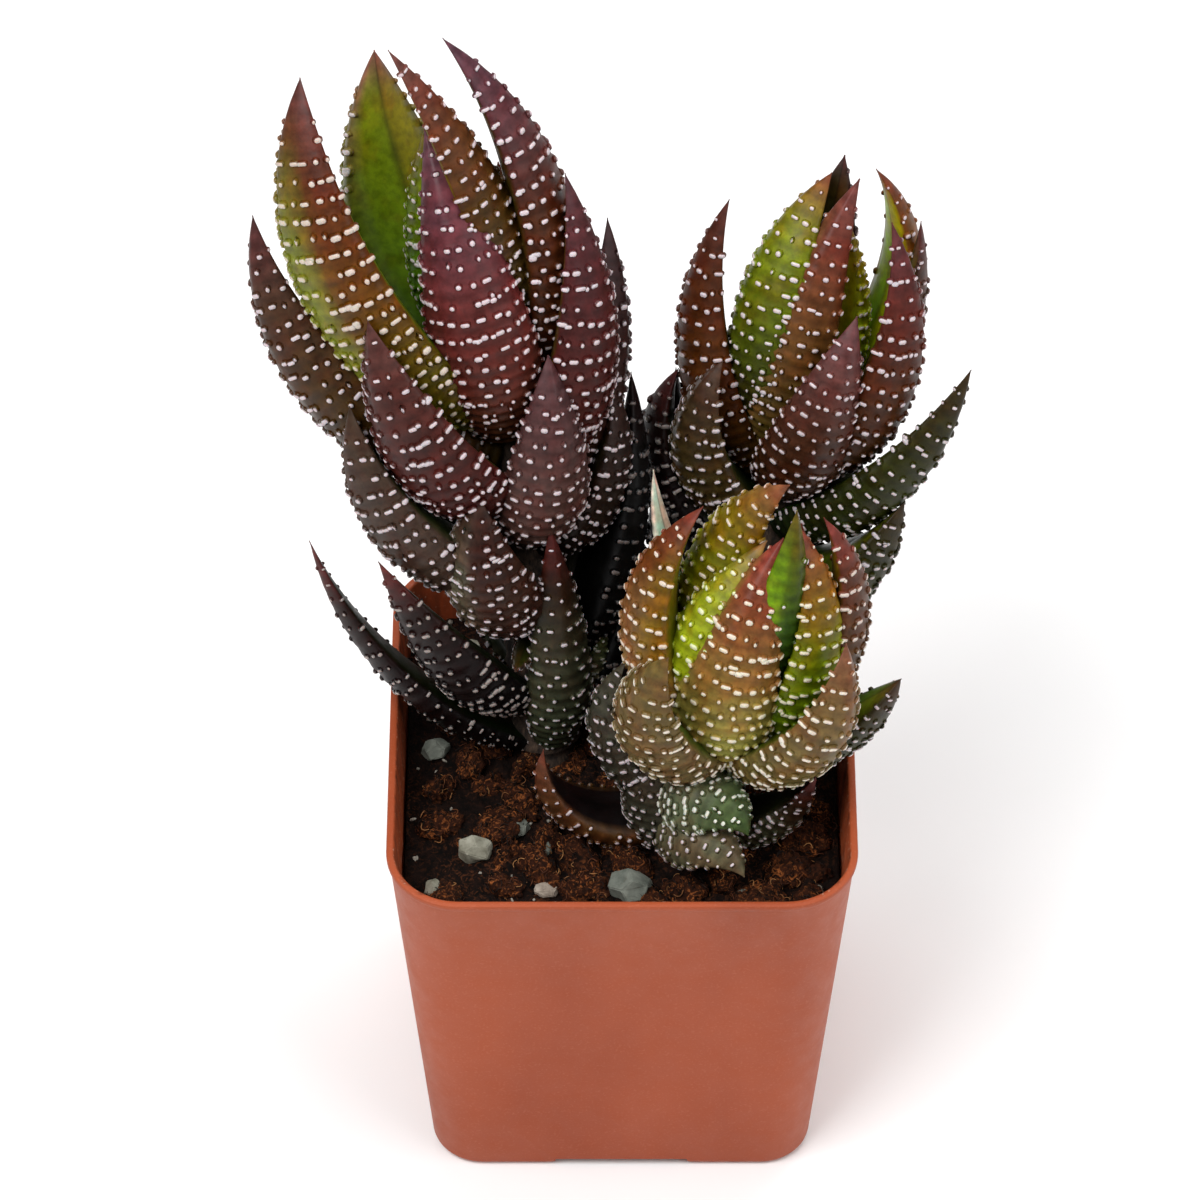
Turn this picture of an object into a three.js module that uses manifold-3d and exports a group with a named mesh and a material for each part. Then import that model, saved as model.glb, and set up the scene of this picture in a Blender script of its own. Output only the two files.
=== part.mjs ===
// A potted haworthia: three leafy stems standing in gritty soil in a square nursery pot.
// Millimetres, +Z up. The origin is the centre of the pot's underside, the front faces -Y.
import * as THREE from 'three';
import { mergeVertices } from 'three/addons/utils/BufferGeometryUtils.js';
import Module from 'manifold-3d';

const wasm = await Module();
wasm.setup();

// Driving dimensions of the pot
const POT_HEIGHT = 63;
const RIM_HALF = 31.75;
const BASE_HALF = 26.75;
const RIM_CORNER = 9.7;
const BASE_CORNER = 7;
const WALL = 0.8;
const FLOOR = 0.9;
const BASE_EDGE = 1.2;
const LIP_HEIGHT = 1.6;
const LIP_FLARE = 0.35;
const CORNER_STEPS = 5;

// Drainage: a shallow channel under each side, with a round hole in its roof
const CHANNEL_WIDTH = 18.6;
const CHANNEL_HEIGHT = 1.5;
const CHANNEL_REACH = 14;
const DRAIN_RADIUS = 3;
const DRAIN_SIDES = 16;
const DRAIN_FROM_CENTRE = 19;
const DRAIN_LENGTH = 8;

// Soil and what stands in it
const GAP = 0.3;
const SOIL_TOP = 55.5;
const SOIL_SINK = 1.6;
const SOIL_RINGS = 9;
const LEAF_CLEARANCE = SOIL_TOP + GAP;
const STEM_FOOT_RADIUS = 3.6;
const STEM_FOOT_DEPTH = 9;
const STEM_SIDES = 12;
const STEM_START = 2;
const STEM_TAPER = 0.6;
const HOLE_TOP = 12;
const TRIM_SPAN = 200;

// Leaves: thick blades, keeled and rough outside, nearly flat inside
const START_RADIUS = 1.5;
const RING_STEP = 4.95;
const RING_SWAY = 20;
const LEAST_RINGS = 4;
const ROOT_WIDTH = 0.56;
const BROADEST_AT = 0.28;
const USUAL_TAPER = 1.8;
const KEEL_DEPTH = 1;
const INNER_BULGE = 0.1;
const TUBERCLE_RELIEF = 0.6;
const LEAST_HALF_WIDTH = 0.45;
const BLUNT_END = 0.5;

// Section of a leaf, as fractions of its half width and its depth, and whether it is rough there
const LEAF_SECTION = [
  [1, 0.1, 1], [0.74, 0.6, 1], [0.27, 0.96, 1], [-0.27, 0.96, 1],
  [-0.74, 0.6, 1], [-1, 0.1, 1], [0, -INNER_BULGE, 0],
];

const STEMS = {
  tall: { foot: [-10, 4, 53], crown: [-18, 27, 124], radius: 4.6 },
  back: { foot: [16, 18, 53], crown: [25, 33, 110], radius: 4.3 },
  front: { foot: [11, -9, 53], crown: [17, -4, 84], radius: 4 },
};

// Each leaf: start up the stem, turn from the front, length, lean of its chord above level,
// curl from foot to tip, width, and sway to the side. Millimetres and degrees. Blunter leaves
// have their taper next: the higher it is, the blunter the tip. Leaves that are rolled about
// their own midline have that roll last.
const TALL_LEAVES = [
  [57, -75, 56, 69, 47, 18.5, -6, 2.8, -15],
  [63, -138, 45.5, 66, 55, 18.5, -2, 2.2],
  [62, 118, 52.5, 104, 17, 13.5, -6, 1.8, 25],
  [60, 107, 52, 94, 45, 15, 0, 2.0, 10],
  [54, -5, 45.5, 89, 40, 14, -14],
  [49, -89, 51.5, 54, 68, 15, 3, 2.0, -42],
  [47, 78, 45, 76, 28, 15.6, 0],
  [43, 110, 40, 66, 31, 13.5, 1, 1.8, 44],
  [45, -41, 38, 59, 40, 16.5, -6],
  [38, 29, 32, 70, 40, 12.6, 6],
  [33, -62, 37.5, 55, 52, 15, 0, 2.2],
  [35, 92, 27, 60, 50, 12, 0],
  [26, -24, 27, 62, 45, 13.5, 10],
  [12, -52, 36, 53, 14, 13.5, 0, 1.5],
  [4, -76, 46.5, 53, 42, 8, -4],
  [4, 26, 39, 76, 20, 9, 0],
  [10, 80, 15, 54, 30, 6, 0],
  [47, -105, 37, 50, 35, 9, 0],
  [8, 150, 31, 58, 30, 11, 0],
  [15, -160, 33, 58, 35, 12, 0],
  [21, 165, 34, 60, 35, 12, 0],
  [27, -130, 33, 58, 40, 12, 0],
  [33, 145, 35, 62, 40, 13, 0],
  [39, -165, 36, 62, 40, 13, 0],
  [45, 150, 37, 66, 40, 13, 0],
  [52, -160, 39, 68, 35, 13, 0],
  [58, 165, 31, 76, 30, 12, 0],
  [66, -104, 31, 81, 14, 12.5, 0],
  [21, -7, 13.5, 6, 13, 3, 2],
];

const BACK_LEAVES = [
  [46, 165, 38.5, 88, 30, 10.5, -2],
  [44, -69, 38, 94, 40, 12, -8, 3.0],
  [41, -27, 42, 94, 28, 11.2, 9],
  [46, 125, 29, 85, 30, 11, 0],
  [43, 115, 43, 81, 88, 10.5, 5, 2.3],
  [38, 68, 43, 79, 58, 14, -2],
  [37, 100, 41.5, 73, 42, 11, 0],
  [37, -104, 41, 73, 46, 13, 2, 1.8, -28],
  [35.5, 12, 33.5, 73, 40, 12, 10],
  [32.3, -66, 28, 64, 72, 13, 10],
  [27, -98, 28, 56, 85, 14, 0],
  [29, 68, 39, 54, 39, 12, 1, 1.8, 24],
  [20, 68, 20, 40, 30, 12, 0],
  [15, 62, 23, 48, 40, 10, 0],
  [9, 140, 22, 70, 30, 10, 0],
  [15, -150, 25, 68, 35, 10, 0],
  [21, 175, 28, 68, 40, 11, 0],
  [26, 135, 30, 62, 40, 12, 0],
  [32, -150, 26, 62, 40, 12, 0],
  [38, 160, 34, 70, 40, 12, 0],
  [10, -60, 21, 50, 40, 11, 0],
  [12, -25, 18, 55, 40, 10, 0],
];

const FRONT_LEAVES = [
  [20, -94, 37, 75, 66, 14.5, 0, 2.0],
  [25.5, -135, 36.5, 92, 71, 12, -1, 1.8, -80],
  [20, -66, 31.5, 91, 55, 13, -2],
  [15.5, -32, 37.5, 91, 38, 15, 4],
  [19.5, 72, 36.5, 89, 60, 13, 0],
  [21, 98, 37, 83, 78, 13, 0],
  [17.5, 43, 32, 62, 74, 13, 0],
  [18, -52, 33, 51, 71, 14, 18],
  [10.5, -86, 26, 50, 100, 12.5, 4],
  [14.6, 75, 28.5, 46, 28, 10.6, 0, 3.0],
  [1, -62, 20, 58, 40, 12, 0],
  [9.5, -40, 17, 50, 120, 11, 120, 2.6, 80],
  [5.5, -40, 19.5, 40, 130, 9, 120, 2.6, 80],
  [4, 62, 18.5, 46, 40, 10, 0],
  [9.5, -79, 31, 9, 140, 10, 0, 2.4],
  [8, 150, 27, 56, 40, 11, 0],
  [14, -165, 31, 62, 45, 12, 0],
  [19, 150, 31, 76, 45, 12, 0],
  [4, -130, 19, 50, 40, 11, 0],
  [27, 30, 31, 88, 22, 9, 0],
];

// Stones on the soil: place, half sizes along X, Y and Z, and turn in degrees
const STONES = [
  { at: [-20.3, -14.6], half: [2.5, 2, 2], turn: 20 },
  { at: [-14.6, -10.6], half: [2, 1.6, 1.6], turn: 15 },
  { at: [-25.8, -22.2], half: [1.3, 2.1, 1.6], turn: 10 },
  { at: [1.2, -21.4], half: [3, 2.6, 2.4], turn: 15 },
  { at: [-10.4, -22], half: [1.7, 1.2, 1], turn: 10 },
  { at: [16.8, -23.6], half: [1.2, 1.7, 1.3], turn: 10 },
  { at: [26.5, -22.5], half: [1.4, 1.2, 1.2], turn: 40 },
  { at: [-26, 4], half: [2.1, 1.8, 1.6], turn: 10 },
  { at: [-22, 22], half: [2.4, 2, 1.8], turn: 50 },
  { at: [3, 24], half: [2.2, 1.8, 1.7], turn: -45 },
  { at: [26.5, 3], half: [1.6, 1.9, 1.5], turn: 25 },
  { at: [-10.8, -14.4], half: [1.4, 1.5, 1.4], turn: -60 },
];
const STONE_SINK = 0.9;
const STONE_ROUGHNESS = 0.16;

const FINISHES = {
  pot: { color: 0xaa5c44, roughness: 0.62 },
  soil: { color: 0x2c1c13, roughness: 0.95 },
  tall: { color: 0x5b3a38, roughness: 0.5 },
  back: { color: 0x56452c, roughness: 0.5 },
  front: { color: 0x7a7436, roughness: 0.5 },
  stone: { color: 0x8d9184, roughness: 0.85 },
};

const radians = THREE.MathUtils.degToRad;

// A repeatable value from 0 to 1 for a whole number
function chance(seed) {
  const wave = Math.sin(seed * 127.1 + 311.7) * 43758.5453;
  return wave - Math.floor(wave);
}

// Joins rings of equal count into a closed geometry, with a fan over each end
function loft(rings, startPoint, endPoint) {
  const count = rings[0].length;
  const points = [startPoint, ...rings.flat(), endPoint];
  const faces = [];
  const last = points.length - 1;
  for (let side = 0; side < count; side += 1) {
    const next = (side + 1) % count;
    faces.push(0, 1 + next, 1 + side);
    for (let ring = 0; ring < rings.length - 1; ring += 1) {
      const low = 1 + ring * count;
      const high = low + count;
      faces.push(low + side, low + next, high + next);
      faces.push(low + side, high + next, high + side);
    }
    const top = 1 + (rings.length - 1) * count;
    faces.push(top + side, top + next, last);
  }
  const geometry = new THREE.BufferGeometry();
  const numbers = points.flatMap((point) => [point.x, point.y, point.z]);
  geometry.setAttribute('position', new THREE.Float32BufferAttribute(numbers, 3));
  geometry.setIndex(faces);
  return geometry;
}

function toSolid(geometry) {
  const bare = geometry.clone();
  bare.deleteAttribute('normal');
  bare.deleteAttribute('uv');
  const merged = mergeVertices(bare, 1e-4);
  return new wasm.Manifold(new wasm.Mesh({
    numProp: 3,
    vertProperties: new Float32Array(merged.attributes.position.array),
    triVerts: new Uint32Array(merged.index.array),
  }));
}

// The triangles of the largest joined shell: pockets sealed between leaves are filled this way
function outerShell(triVerts, vertexCount) {
  const owner = Array.from({ length: vertexCount }, (unused, vertex) => vertex);
  const find = (vertex) => {
    let root = vertex;
    while (owner[root] !== root) {
      owner[root] = owner[owner[root]];
      root = owner[root];
    }
    return root;
  };
  for (let i = 0; i < triVerts.length; i += 3) {
    owner[find(triVerts[i + 1])] = find(triVerts[i]);
    owner[find(triVerts[i + 2])] = find(triVerts[i]);
  }
  const shells = new Map();
  for (let i = 0; i < triVerts.length; i += 3) {
    const root = find(triVerts[i]);
    if (!shells.has(root)) shells.set(root, []);
    shells.get(root).push(triVerts[i], triVerts[i + 1], triVerts[i + 2]);
  }
  return [...shells.values()].sort((a, b) => b.length - a.length)[0];
}

function toGeometry(solid) {
  const mesh = solid.getMesh();
  const vertices = new Float32Array(mesh.vertProperties);
  const geometry = new THREE.BufferGeometry();
  geometry.setAttribute('position', new THREE.BufferAttribute(vertices, 3));
  geometry.setIndex(outerShell(mesh.triVerts, vertices.length / 3));
  geometry.computeVertexNormals();
  return geometry;
}

function namedMesh(name, solid, finish) {
  const material = new THREE.MeshStandardMaterial({ ...finish, metalness: 0 });
  const mesh = new THREE.Mesh(toGeometry(solid), material);
  mesh.name = name;
  return mesh;
}

function box(width, depth, height, x, y, z) {
  return toSolid(new THREE.BoxGeometry(width, depth, height).translate(x, y, z));
}

// A level square ring of points with round corners, counter-clockwise from above
function roundedSquare(half, corner, z) {
  const ring = [];
  for (let quarter = 0; quarter < 4; quarter += 1) {
    const middle = radians(45 + 90 * quarter);
    const centreX = Math.sign(Math.cos(middle)) * (half - corner);
    const centreY = Math.sign(Math.sin(middle)) * (half - corner);
    for (let step = 0; step <= CORNER_STEPS; step += 1) {
      const angle = radians(90 * quarter + (90 * step) / CORNER_STEPS);
      ring.push(new THREE.Vector3(
        centreX + corner * Math.cos(angle),
        centreY + corner * Math.sin(angle),
        z,
      ));
    }
  }
  return ring;
}

// The pot's outer wall at a height, moved inwards by an inset
function wallRing(z, inset, flare = 0) {
  const share = z / POT_HEIGHT;
  const half = THREE.MathUtils.lerp(BASE_HALF, RIM_HALF, share) - inset + flare;
  const corner = THREE.MathUtils.lerp(BASE_CORNER, RIM_CORNER, share) - inset + flare;
  return roundedSquare(half, corner, z);
}

function wallLoft(rings) {
  const low = rings[0][0].z;
  const high = rings[rings.length - 1][0].z;
  return toSolid(loft(rings, new THREE.Vector3(0, 0, low), new THREE.Vector3(0, 0, high)));
}

// The four channels under the base, grown by a wall thickness where it is asked for
function channelBoxes(grow) {
  const length = CHANNEL_REACH + BASE_EDGE + grow;
  const middle = BASE_HALF + BASE_EDGE - length / 2;
  const width = CHANNEL_WIDTH + 2 * grow;
  const height = CHANNEL_HEIGHT + 1 + grow;
  const z = height / 2 - 1;
  return [
    box(width, length, height, 0, -middle, z),
    box(width, length, height, 0, middle, z),
    box(length, width, height, -middle, 0, z),
    box(length, width, height, middle, 0, z),
  ];
}

function drainHole(x, y) {
  const hole = new THREE.CylinderGeometry(DRAIN_RADIUS, DRAIN_RADIUS, DRAIN_LENGTH, DRAIN_SIDES);
  return toSolid(hole.rotateX(Math.PI / 2).translate(x, y, 0));
}

function potSolid() {
  const lipBase = POT_HEIGHT - LIP_HEIGHT;
  const outer = wallLoft([
    wallRing(0, BASE_EDGE),
    wallRing(BASE_EDGE * 0.3, BASE_EDGE * 0.3),
    wallRing(BASE_EDGE, 0),
    wallRing(lipBase, 0),
    wallRing(lipBase + LIP_HEIGHT / 2, 0, LIP_FLARE),
    wallRing(POT_HEIGHT, 0, LIP_FLARE),
  ]);
  let cavity = wallLoft([
    wallRing(FLOOR, WALL + BASE_EDGE * 0.5),
    wallRing(FLOOR + BASE_EDGE, WALL),
    wallRing(POT_HEIGHT + 1, WALL),
  ]);
  for (const channel of channelBoxes(WALL)) cavity = cavity.subtract(channel);
  let pot = outer.subtract(cavity);
  for (const channel of channelBoxes(0)) pot = pot.subtract(channel);
  for (const offset of [-DRAIN_FROM_CENTRE, DRAIN_FROM_CENTRE]) {
    pot = pot.subtract(drainHole(offset, 0)).subtract(drainHole(0, offset));
  }
  return pot;
}

// Height of the crumbly soil surface: seeded clods and dips, never above the soil's top
function soilHeight(x, y) {
  const coarse = Math.sin(x * 0.61 + 1.3) * Math.cos(y * 0.53 - 0.4);
  const fine = chance(Math.round(x * 7) + Math.round(y * 13) * 57);
  return SOIL_TOP - SOIL_SINK * (0.3 + 0.25 * coarse + 0.45 * fine);
}

function soilSolid(cutters) {
  const rings = [
    wallRing(FLOOR + GAP, WALL + GAP + BASE_EDGE * 0.5),
    wallRing(FLOOR + BASE_EDGE + GAP, WALL + GAP),
    wallRing(SOIL_TOP - SOIL_SINK, WALL + GAP),
  ];
  const edge = rings[2];
  for (let ring = 1; ring < SOIL_RINGS; ring += 1) {
    const share = 1 - ring / SOIL_RINGS;
    rings.push(edge.map((point) => {
      const x = point.x * share;
      const y = point.y * share;
      return new THREE.Vector3(x, y, soilHeight(x, y));
    }));
  }
  const bottom = new THREE.Vector3(0, 0, FLOOR + GAP);
  const top = new THREE.Vector3(0, 0, soilHeight(0, 0));
  let soil = toSolid(loft(rings, bottom, top));
  for (const channel of channelBoxes(WALL + GAP)) soil = soil.subtract(channel);
  for (const cutter of cutters) soil = soil.subtract(cutter);
  return soil;
}

// Axes at a turn about a stem: the stem's direction, outwards, and to the right
function stemAxes(stem, turn) {
  const foot = new THREE.Vector3(...stem.foot);
  const along = new THREE.Vector3(...stem.crown).sub(foot).normalize();
  const out = new THREE.Vector3(Math.sin(radians(turn)), -Math.cos(radians(turn)), 0);
  out.addScaledVector(along, -out.dot(along)).normalize();
  const side = new THREE.Vector3().crossVectors(along, out);
  return { foot, along, out, side };
}

// Half width of a leaf along its length, as a fraction of its broadest half width
function leafBreadth(share, taper) {
  if (share < BROADEST_AT) {
    return ROOT_WIDTH + (1 - ROOT_WIDTH) * Math.sin((Math.PI / 2) * (share / BROADEST_AT));
  }
  return 1 - ((share - BROADEST_AT) / (1 - BROADEST_AT)) ** taper;
}

// Directions of a leaf at a share of its length: along its midline, outwards from its back, across
function leafFrame(axes, { lean, curl, sway, roll }, share) {
  const rise = radians(lean + curl * (share - 0.5));
  const swing = radians(sway * share);
  const turned = radians(roll);
  const forward = axes.out.clone().multiplyScalar(Math.cos(rise));
  forward.addScaledVector(axes.along, Math.sin(rise));
  const tangent = forward.clone().multiplyScalar(Math.cos(swing));
  tangent.addScaledVector(axes.side, Math.sin(swing));
  const sideways = axes.side.clone().multiplyScalar(Math.cos(swing));
  sideways.addScaledVector(forward, -Math.sin(swing));
  const outward = axes.out.clone().multiplyScalar(Math.sin(rise));
  outward.addScaledVector(axes.along, -Math.cos(rise));
  const normal = outward.clone().multiplyScalar(Math.cos(turned));
  normal.addScaledVector(sideways, -Math.sin(turned));
  const across = outward.multiplyScalar(-Math.sin(turned));
  across.addScaledVector(sideways, -Math.cos(turned));
  return { tangent, normal, across };
}

// A ring of the leaf's section; the rough side rises at every other point, like its tubercles
function leafRing(centre, frame, halfWidth, ringIndex) {
  const depth = halfWidth * KEEL_DEPTH;
  return LEAF_SECTION.map(([lateral, outward, rough], index) => {
    const raised = rough * ((ringIndex + index) % 2) * Math.min(TUBERCLE_RELIEF, halfWidth * 0.15);
    const scale = 1 + raised / halfWidth;
    return centre.clone()
      .addScaledVector(frame.across, lateral * halfWidth * scale)
      .addScaledVector(frame.normal, outward * depth * scale);
  });
}

function leafSolid(stem, [up, turn, length, lean, curl, width, sway, taper = USUAL_TAPER, roll = 0]) {
  const axes = stemAxes(stem, turn);
  const pose = { lean, curl, sway, roll };
  const ringCount = Math.max(LEAST_RINGS, Math.round(length / RING_STEP), Math.round(sway / RING_SWAY));
  const step = (length - BLUNT_END) / ringCount;
  const centre = axes.foot.clone().addScaledVector(axes.along, up).addScaledVector(axes.out, START_RADIUS);
  const start = centre.clone();
  const rings = [];
  for (let ring = 0; ring <= ringCount; ring += 1) {
    const share = ring / ringCount;
    const frame = leafFrame(axes, pose, share);
    const halfWidth = Math.max(LEAST_HALF_WIDTH, (leafBreadth(share, taper) * width) / 2);
    rings.push(leafRing(centre, frame, halfWidth, ring));
    const ahead = ring < ringCount ? (ring + 0.5) / ringCount : 1;
    const reach = ring < ringCount ? step : BLUNT_END;
    centre.addScaledVector(leafFrame(axes, pose, ahead).tangent, reach);
  }
  return toSolid(loft(rings, start, centre));
}

// A round bar between two points along a stem, measured from the stem's foot
function stemBar(stem, from, to, radiusFrom, radiusTo) {
  const { foot, along } = stemAxes(stem, 0);
  const bar = new THREE.CylinderGeometry(radiusTo, radiusFrom, to - from, STEM_SIDES);
  bar.translate(0, (from + to) / 2, 0);
  bar.applyQuaternion(new THREE.Quaternion().setFromUnitVectors(new THREE.Vector3(0, 1, 0), along));
  return toSolid(bar.translate(foot.x, foot.y, foot.z));
}

function stemLength(stem) {
  return new THREE.Vector3(...stem.foot).distanceTo(new THREE.Vector3(...stem.crown));
}

function rosetteSolid(stem, leaves) {
  const length = stemLength(stem);
  let leafy = stemBar(stem, STEM_START, length, stem.radius, stem.radius * STEM_TAPER);
  for (const leaf of leaves) leafy = leafy.add(leafSolid(stem, leaf));
  const middle = LEAF_CLEARANCE + TRIM_SPAN / 2;
  const aboveSoil = box(TRIM_SPAN, TRIM_SPAN, TRIM_SPAN, 0, 0, middle);
  const foot = stemBar(stem, -STEM_FOOT_DEPTH, stem.radius * 2, STEM_FOOT_RADIUS, STEM_FOOT_RADIUS);
  return leafy.intersect(aboveSoil).add(foot);
}

function stemHole(stem) {
  const radius = STEM_FOOT_RADIUS + GAP;
  return stemBar(stem, -STEM_FOOT_DEPTH - GAP, HOLE_TOP, radius, radius);
}

// An angular stone: a ball of flat facets, pushed in and out by seeded amounts
function stoneGeometry(stone, index, grow) {
  const ball = roughBall();
  const position = ball.attributes.position;
  const half = stone.half.map((value) => value + grow);
  const turn = radians(stone.turn);
  for (let i = 0; i < position.count; i += 1) {
    const swell = 1 + STONE_ROUGHNESS * (chance(i + 91 * index) * 2 - 1);
    const x = position.getX(i) * half[0] * swell;
    const y = position.getY(i) * half[1] * swell;
    const z = position.getZ(i) * half[2] * swell;
    position.setXYZ(
      i,
      stone.at[0] + x * Math.cos(turn) - y * Math.sin(turn),
      stone.at[1] + x * Math.sin(turn) + y * Math.cos(turn),
      SOIL_TOP - STONE_SINK + z,
    );
  }
  return ball;
}

function roughBall() {
  const ball = new THREE.DodecahedronGeometry(1.1, 0);
  ball.deleteAttribute('normal');
  ball.deleteAttribute('uv');
  return mergeVertices(ball, 1e-4);
}

const stoneSolids = STONES.map((stone, index) => toSolid(stoneGeometry(stone, index, 0)));
const stonePockets = STONES.map((stone, index) => toSolid(stoneGeometry(stone, index, GAP)));
const stemHoles = Object.values(STEMS).map(stemHole);

const plant = new THREE.Group();
plant.add(namedMesh('pot', potSolid(), FINISHES.pot));
plant.add(namedMesh('soil', soilSolid([...stemHoles, ...stonePockets]), FINISHES.soil));
plant.add(namedMesh('rosette_tall', rosetteSolid(STEMS.tall, TALL_LEAVES), FINISHES.tall));
plant.add(namedMesh('rosette_back', rosetteSolid(STEMS.back, BACK_LEAVES), FINISHES.back));
plant.add(namedMesh('rosette_front', rosetteSolid(STEMS.front, FRONT_LEAVES), FINISHES.front));
stoneSolids.forEach((solid, index) => {
  plant.add(namedMesh(`stone_${index + 1}`, solid, FINISHES.stone));
});

export default plant;
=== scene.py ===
"""A potted haworthia: three leafy stems standing in gritty soil in a square nursery pot.

Sizes and places are in millimetres, as they are on the plant. Meshes are written in metres, in the
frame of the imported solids: +Z up, the front towards -Y, the middle of the pot's underside at zero.
"""

import logging
import math
from dataclasses import dataclass, field
from enum import Enum

import bmesh
import bpy
import numpy as np
from mathutils import Euler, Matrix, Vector, noise


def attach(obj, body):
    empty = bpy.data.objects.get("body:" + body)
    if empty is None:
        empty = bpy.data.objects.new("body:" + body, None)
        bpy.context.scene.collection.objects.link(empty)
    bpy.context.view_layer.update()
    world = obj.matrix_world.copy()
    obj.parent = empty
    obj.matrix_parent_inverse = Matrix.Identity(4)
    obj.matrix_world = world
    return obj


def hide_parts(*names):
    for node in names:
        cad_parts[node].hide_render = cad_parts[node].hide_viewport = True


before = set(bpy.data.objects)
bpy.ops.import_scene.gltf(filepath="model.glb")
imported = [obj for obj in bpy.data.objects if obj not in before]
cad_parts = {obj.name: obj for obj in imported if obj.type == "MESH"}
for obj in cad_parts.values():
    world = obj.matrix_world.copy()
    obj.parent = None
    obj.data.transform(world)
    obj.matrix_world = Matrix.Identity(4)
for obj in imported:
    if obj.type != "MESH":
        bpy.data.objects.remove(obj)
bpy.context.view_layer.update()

MM = 0.001
BODY = "root"
WHITE = (255, 255, 255)

Colour = tuple[float, float, float]
Point = tuple[float, float, float]
Span = tuple[float, float]
Socket = bpy.types.NodeSocket

log = logging.getLogger("haworthia")


def linear(red: int, green: int, blue: int) -> Colour:
    """Scene-linear colour of a display colour.

    Args:
        red, green, blue: display values from 0 to 255.

    Returns:
        The three linear values.
    """
    shares = (value / 255 for value in (red, green, blue))
    return tuple(s / 12.92 if s < 0.04045 else ((s + 0.055) / 1.055) ** 2.4 for s in shares)


def smooth_step(low: float, high: float, value: np.ndarray) -> np.ndarray:
    """Eased ramp from 0 at low to 1 at high.

    Args:
        low, high: where the ramp starts and ends.
        value: where it is read.

    Returns:
        The ramp's height at each value.
    """
    share = np.clip((value - low) / (high - low), 0, 1)
    return share * share * (3 - 2 * share)


def unit(vectors: np.ndarray) -> np.ndarray:
    """The same directions with a length of 1."""
    return vectors / np.linalg.norm(vectors, axis=1)[:, None]


class MeshDraft:
    """Points in millimetres, faces and named point fields on their way to a Blender mesh."""

    def __init__(self) -> None:
        """Starts empty."""
        self.points: list[np.ndarray] = []
        self.faces: list[tuple[int, ...]] = []
        self.fields: dict[str, list[np.ndarray]] = {}
        self.count = 0

    def add(self, points: np.ndarray, faces: list[tuple[int, ...]], **fields: np.ndarray) -> None:
        """Adds a shape.

        Args:
            points: its points, one row each.
            faces: its faces as point numbers that start at 0.
            fields: values for each point: one column, three for a vector or four for a colour.
        """
        self.points.append(points)
        self.faces.extend(tuple(i + self.count for i in face) for face in faces)
        for name, values in fields.items():
            self.fields.setdefault(name, []).append(values)
        self.count += len(points)

    def mesh(self, name: str) -> bpy.types.Mesh:
        """Writes the mesh.

        Args:
            name: the mesh's name.

        Returns:
            The mesh, in metres, smooth shaded.
        """
        mesh = bpy.data.meshes.new(name)
        mesh.from_pydata((np.vstack(self.points) * MM).tolist(), [], self.faces)
        for field_name, parts in self.fields.items():
            write_field(mesh, field_name, np.concatenate(parts))
        mesh.shade_smooth()
        mesh.update()
        return mesh


def write_field(mesh: bpy.types.Mesh, name: str, values: np.ndarray) -> None:
    """Stores a named value on each point of a mesh.

    Args:
        mesh: the mesh.
        name: the attribute's name.
        values: a number, a vector or a colour for each point.
    """
    width = 1 if values.ndim == 1 else values.shape[1]
    kind, key = {1: ("FLOAT", "value"), 3: ("FLOAT_VECTOR", "vector"), 4: ("FLOAT_COLOR", "color")}[width]
    attribute = mesh.attributes.new(name, kind, "POINT")
    attribute.data.foreach_set(key, values.astype(np.float32).ravel())


def loft_faces(rings: int, count: int) -> list[tuple[int, ...]]:
    """Faces of a closed tube: a start point, rings of equal count, and an end point.

    Args:
        rings: how many rings there are.
        count: points on a ring.

    Returns:
        The faces, outward where the rings turn counter-clockwise seen from the end point.
    """
    faces: list[tuple[int, ...]] = []
    last = 1 + rings * count
    top = 1 + (rings - 1) * count
    for side in range(count):
        after = (side + 1) % count
        faces.append((0, 1 + after, 1 + side))
        for low in range(1, top, count):
            faces.append((low + side, low + after, low + count + after, low + count + side))
        faces.append((top + side, top + after, last))
    return faces


def new_object(name: str, mesh: bpy.types.Mesh) -> bpy.types.Object:
    """Puts a mesh in the scene as an object at the origin.

    Args:
        name: the piece's name.
        mesh: its mesh.

    Returns:
        The object.
    """
    thing = bpy.data.objects.new(name, mesh)
    bpy.context.scene.collection.objects.link(thing)
    return thing


def settle(thing: bpy.types.Object) -> bpy.types.Object:
    """Applies an object's modifiers to its mesh.

    Args:
        thing: the object.

    Returns:
        The same object, with the finished mesh, its attributes kept, and no modifiers.
    """
    graph = bpy.context.evaluated_depsgraph_get()
    finished = bpy.data.meshes.new_from_object(
        thing.evaluated_get(graph), preserve_all_data_layers=True, depsgraph=graph
    )
    thing.modifiers.clear()
    thing.data = finished
    return thing


def crease(mesh: bpy.types.Mesh, degrees: float) -> None:
    """Smooths a mesh's shading except over edges that turn by more than an angle.

    Args:
        mesh: the mesh.
        degrees: the angle.
    """
    shape = bmesh.new()
    shape.from_mesh(mesh)
    for face in shape.faces:
        face.smooth = True
    for edge in shape.edges:
        edge.smooth = len(edge.link_faces) == 2 and edge.calc_face_angle() < math.radians(degrees)
    shape.to_mesh(mesh)
    shape.free()


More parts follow.
